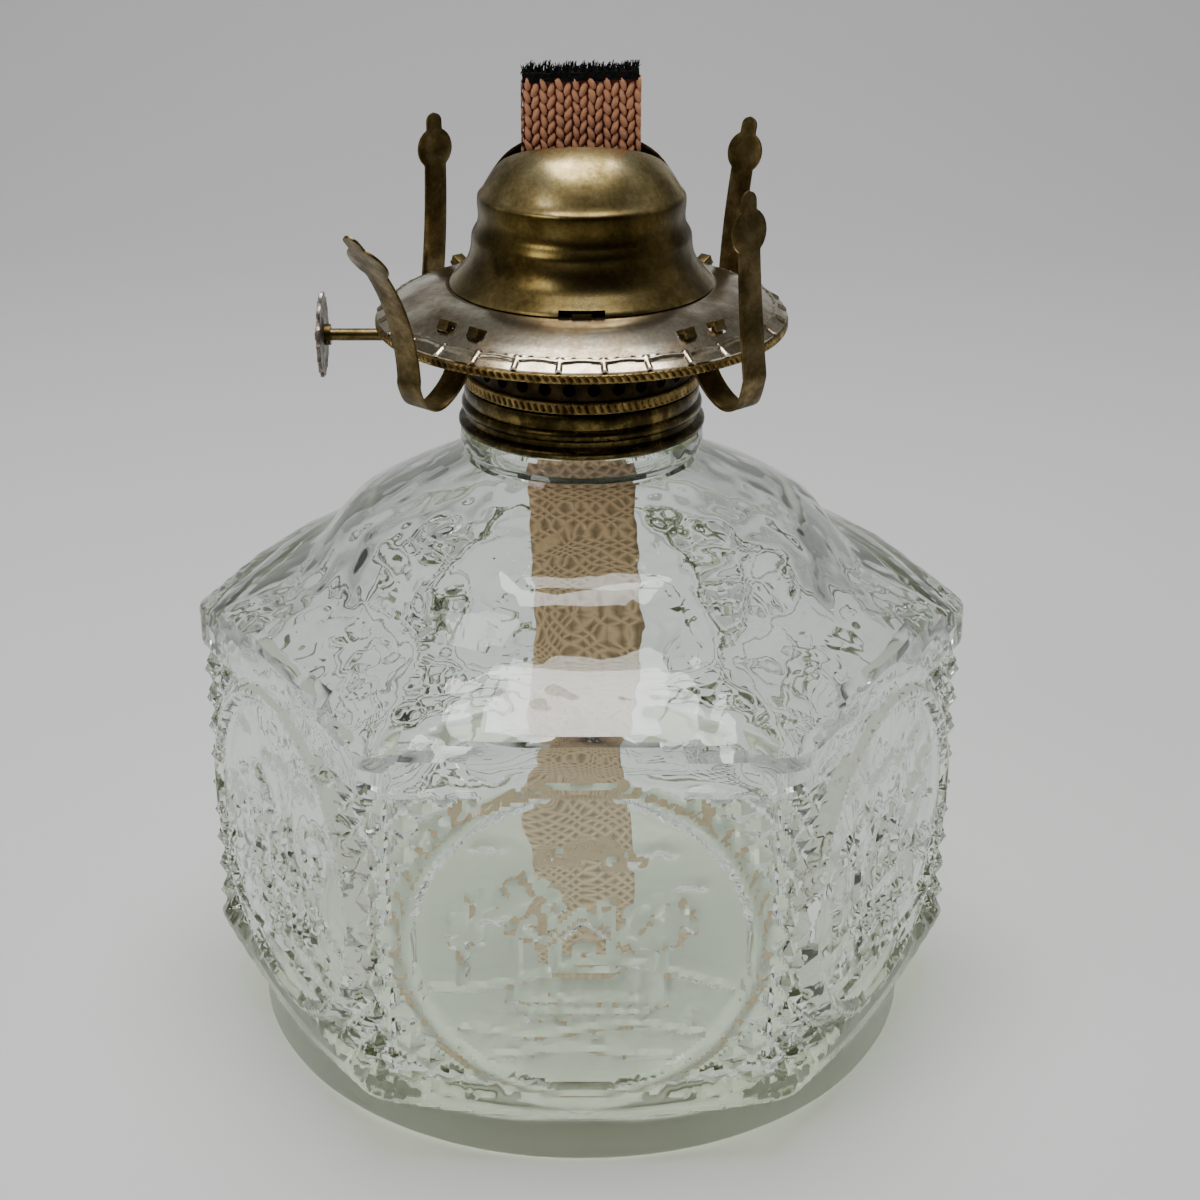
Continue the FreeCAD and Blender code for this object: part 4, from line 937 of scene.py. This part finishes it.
def hanging_tail():
    """The wick's tail in the font, a little wavy."""
    deselect()
    bpy.ops.mesh.primitive_grid_add(x_subdivisions=30, y_subdivisions=150, size=1)
    piece = named("hanging_tail")
    spots = points_of(piece)
    across = spots[:, 0].copy()
    height = TAIL_BOTTOM + (spots[:, 1] + 0.5) * (TAIL_TOP - TAIL_BOTTOM)
    loose = np.clip((118 * MM - height) / (40 * MM), 0, 1)
    spots[:, 0] = across * WICK_WIDTH * 0.97 + loose * 0.4 * MM * np.sin(height * 90)
    spots[:, 1] = loose * 0.25 * MM * np.sin(height * 140 + 1) - 9 * MM * loose**1.5
    spots[:, 2] = height
    move_points(piece, spots)
    with_modifier(piece, "SOLIDIFY", thickness=2.4 * MM, offset=0)
    with_modifier(piece, "BEVEL", width=0.7 * MM, segments=3, angle_limit=math.radians(60))
    smooth(piece, 60)
    material, tree, shader, _, where = new_material("woven_wick_cotton")
    place = node(tree, "SeparateXYZ", Vector=where).outputs
    up = node(tree, "Math", {"operation": "MULTIPLY", 1: 2 * math.pi / (2.0 * MM)},
              Value=place["Z"])
    cross = node(tree, "Math", {"operation": "MULTIPLY", 1: 2 * math.pi / (3.0 * MM)},
                 Value=place["X"])
    waves = []
    for sign in (1, -1):
        mixed = node(tree, "Math", {"operation": "MULTIPLY_ADD", 1: sign}, Value=cross.outputs[0])
        tree.links.new(up.outputs[0], mixed.inputs[2])
        waves.append(node(tree, "Math", {"operation": "SINE"}, Value=mixed.outputs[0]))
    weave = node(tree, "Math", {"operation": "MAXIMUM"}, Value=waves[0].outputs[0])
    tree.links.new(waves[1].outputs[0], weave.inputs[1])
    height_in = node(tree, "MapRange", {"From Min": 20 * MM, "From Max": 150 * MM},
                     Value=place["Z"])
    tone = ramp(tree, height_in.outputs[0],
                [(0.0, tint("#f4d9b6")), (0.55, tint("#edcaa2")), (0.85, tint("#dfb18c")),
                 (1.0, tint("#bd8563"))])
    # painted shade: the colour is darker where the weave's bump is low, in its troughs
    shade = node(tree, "MapRange", {"From Min": -0.6, "From Max": 0.9, "To Min": 0.55},
                 Value=weave.outputs[0])
    darker = node(tree, "VectorMath", {"operation": "SCALE"}, Vector=tone, Scale=shade.outputs[0])
    tree.links.new(darker.outputs[0], shader.inputs["Base Color"])
    relief = node(tree, "Bump", {"Strength": 0.6, "Distance": 0.4 * MM}, Height=weave.outputs[0])
    tree.links.new(relief.outputs[0], shader.inputs["Normal"])
    set_shader(shader, Roughness=0.95)
    finish(piece, "wick", "wick_cotton", material, "wick_tail")
    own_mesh(piece)
    return piece


# ------------------------------------------------------------------ pieces kept as packed
KEPT = {
    "hidden": ("air_drum", "air_distributor", "wick_tube", "shaft_lug_left", "shaft_lug_right",
               "spur_wheel_left", "spur_wheel_right"),
    "spring": ("dome_catch", "shaft_bush", "raiser_shaft", "thumbwheel_hub"),
}


def plaster():
    """Cement between the collar and the glass: matt and chalky."""
    material, tree, shader, _, where = new_material("collar_cement")
    stops = [(0.3, tint("#b9b2a2")), (0.7, tint("#d8d2c4"))]
    tree.links.new(ramp(tree, grain(tree, where, 2.0), stops), shader.inputs["Base Color"])
    set_shader(shader, Roughness=0.9)
    return material


def dress_kept_pieces():
    # the pieces inside the burner get a nearly black colour: painted shade for their recess
    dark, spring = shade_black_brass(), spring_metal()
    for labels, material in ((KEPT["hidden"], dark), (KEPT["spring"], spring),
                             (("collar_plaster",), plaster())):
        for label in labels:
            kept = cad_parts[label]
            kept.data.materials.clear()
            kept.data.materials.append(material)


# ------------------------------------------------------------------ floor, lights and camera
def studio():
    deselect()
    bpy.ops.mesh.primitive_plane_add(size=6, location=(0, 0, -0.1 * MM))
    floor = named("floor_sweep")
    edit(select=False)
    leave()
    for corner in floor.data.vertices:
        corner.select = corner.co.y > 0
    bpy.ops.object.mode_set(mode="EDIT")
    bpy.ops.mesh.extrude_region_move(TRANSFORM_OT_translate={"value": (0, 0, 3)})
    leave()
    for corner in floor.data.vertices:
        if corner.co.y > 0:
            corner.co.y = 1.1
    with_modifier(floor, "BEVEL", width=0.5, segments=16, limit_method="ANGLE")
    smooth(floor, 60)
    paper, _, shader, *_ = new_material("pale_paper")
    set_shader(shader, Base_Color=tint("#d3d4d3"), Roughness=0.75)
    floor.data.materials.append(paper)

    world = bpy.data.worlds.new("room")
    bpy.context.scene.world = world
    world.use_nodes = True
    tree = world.node_tree
    back = tree.nodes["Background"]
    direction = node(tree, "TexCoord").outputs["Generated"]
    # the side that the viewer stands on is the dark end of the room
    toward = node(tree, "VectorMath", {"operation": "DOT_PRODUCT", 1: (0, -0.85, 0.53)},
                  Vector=direction)
    stops = [(0.0, tint("#d9dbd9")), (0.5, tint("#c9cbc9")), (0.68, tint("#9b9d9b")),
             (0.82, tint("#5a5b5a")), (0.9, tint("#1c1c1c")), (1.0, tint("#0d0d0d"))]
    spread = node(tree, "MapRange", {"From Min": -1.0, "From Max": 1.0},
                  Value=toward.outputs["Value"])
    tree.links.new(ramp(tree, spread.outputs[0], stops), back.inputs["Color"])
    back.inputs["Strength"].default_value = 0.8

    def lamp(name, size, power, spot, aim):
        bpy.ops.object.light_add(type="AREA", location=spot)
        made = bpy.context.object
        made.name = name
        made.data.shape = "RECTANGLE"
        made.data.size, made.data.size_y = size
        made.data.energy = power
        made.rotation_euler = (Vector(aim) - Vector(spot)).to_track_quat("-Z", "Y").to_euler()

    lamp("ceiling_light", (0.6, 0.6), 11.5, (0.0, 0.02, 1.0), (0, 0.06, 0.0))
    lamp("window_light", (0.45, 0.45), 3.5, (-0.75, -0.7, 0.75), (0, 0, 0.1))

    bpy.ops.object.camera_add(location=(0, -0.4176, 0.2714))
    camera = bpy.context.object
    camera.name = "photo_view"
    camera.rotation_euler = (math.radians(90 - 23.63), 0, 0)
    camera.data.sensor_width = 36
    camera.data.lens = 66.66
    camera.data.shift_x = 0.01525
    camera.data.clip_start = 0.01
    bpy.context.scene.camera = camera


studio()
glass_font()
collar()
burner_base()
gallery_edge_ring()
gallery_plate()
dome()
for label, (side, end, bend_lean, tip_lean) in PRONG_LEANS.items():
    prong(label, side, end, bend_lean, tip_lean)
thumbwheel()
stitches, tape = knitted_wick()
char = charred_top()
hanging_tail()
dress_kept_pieces()
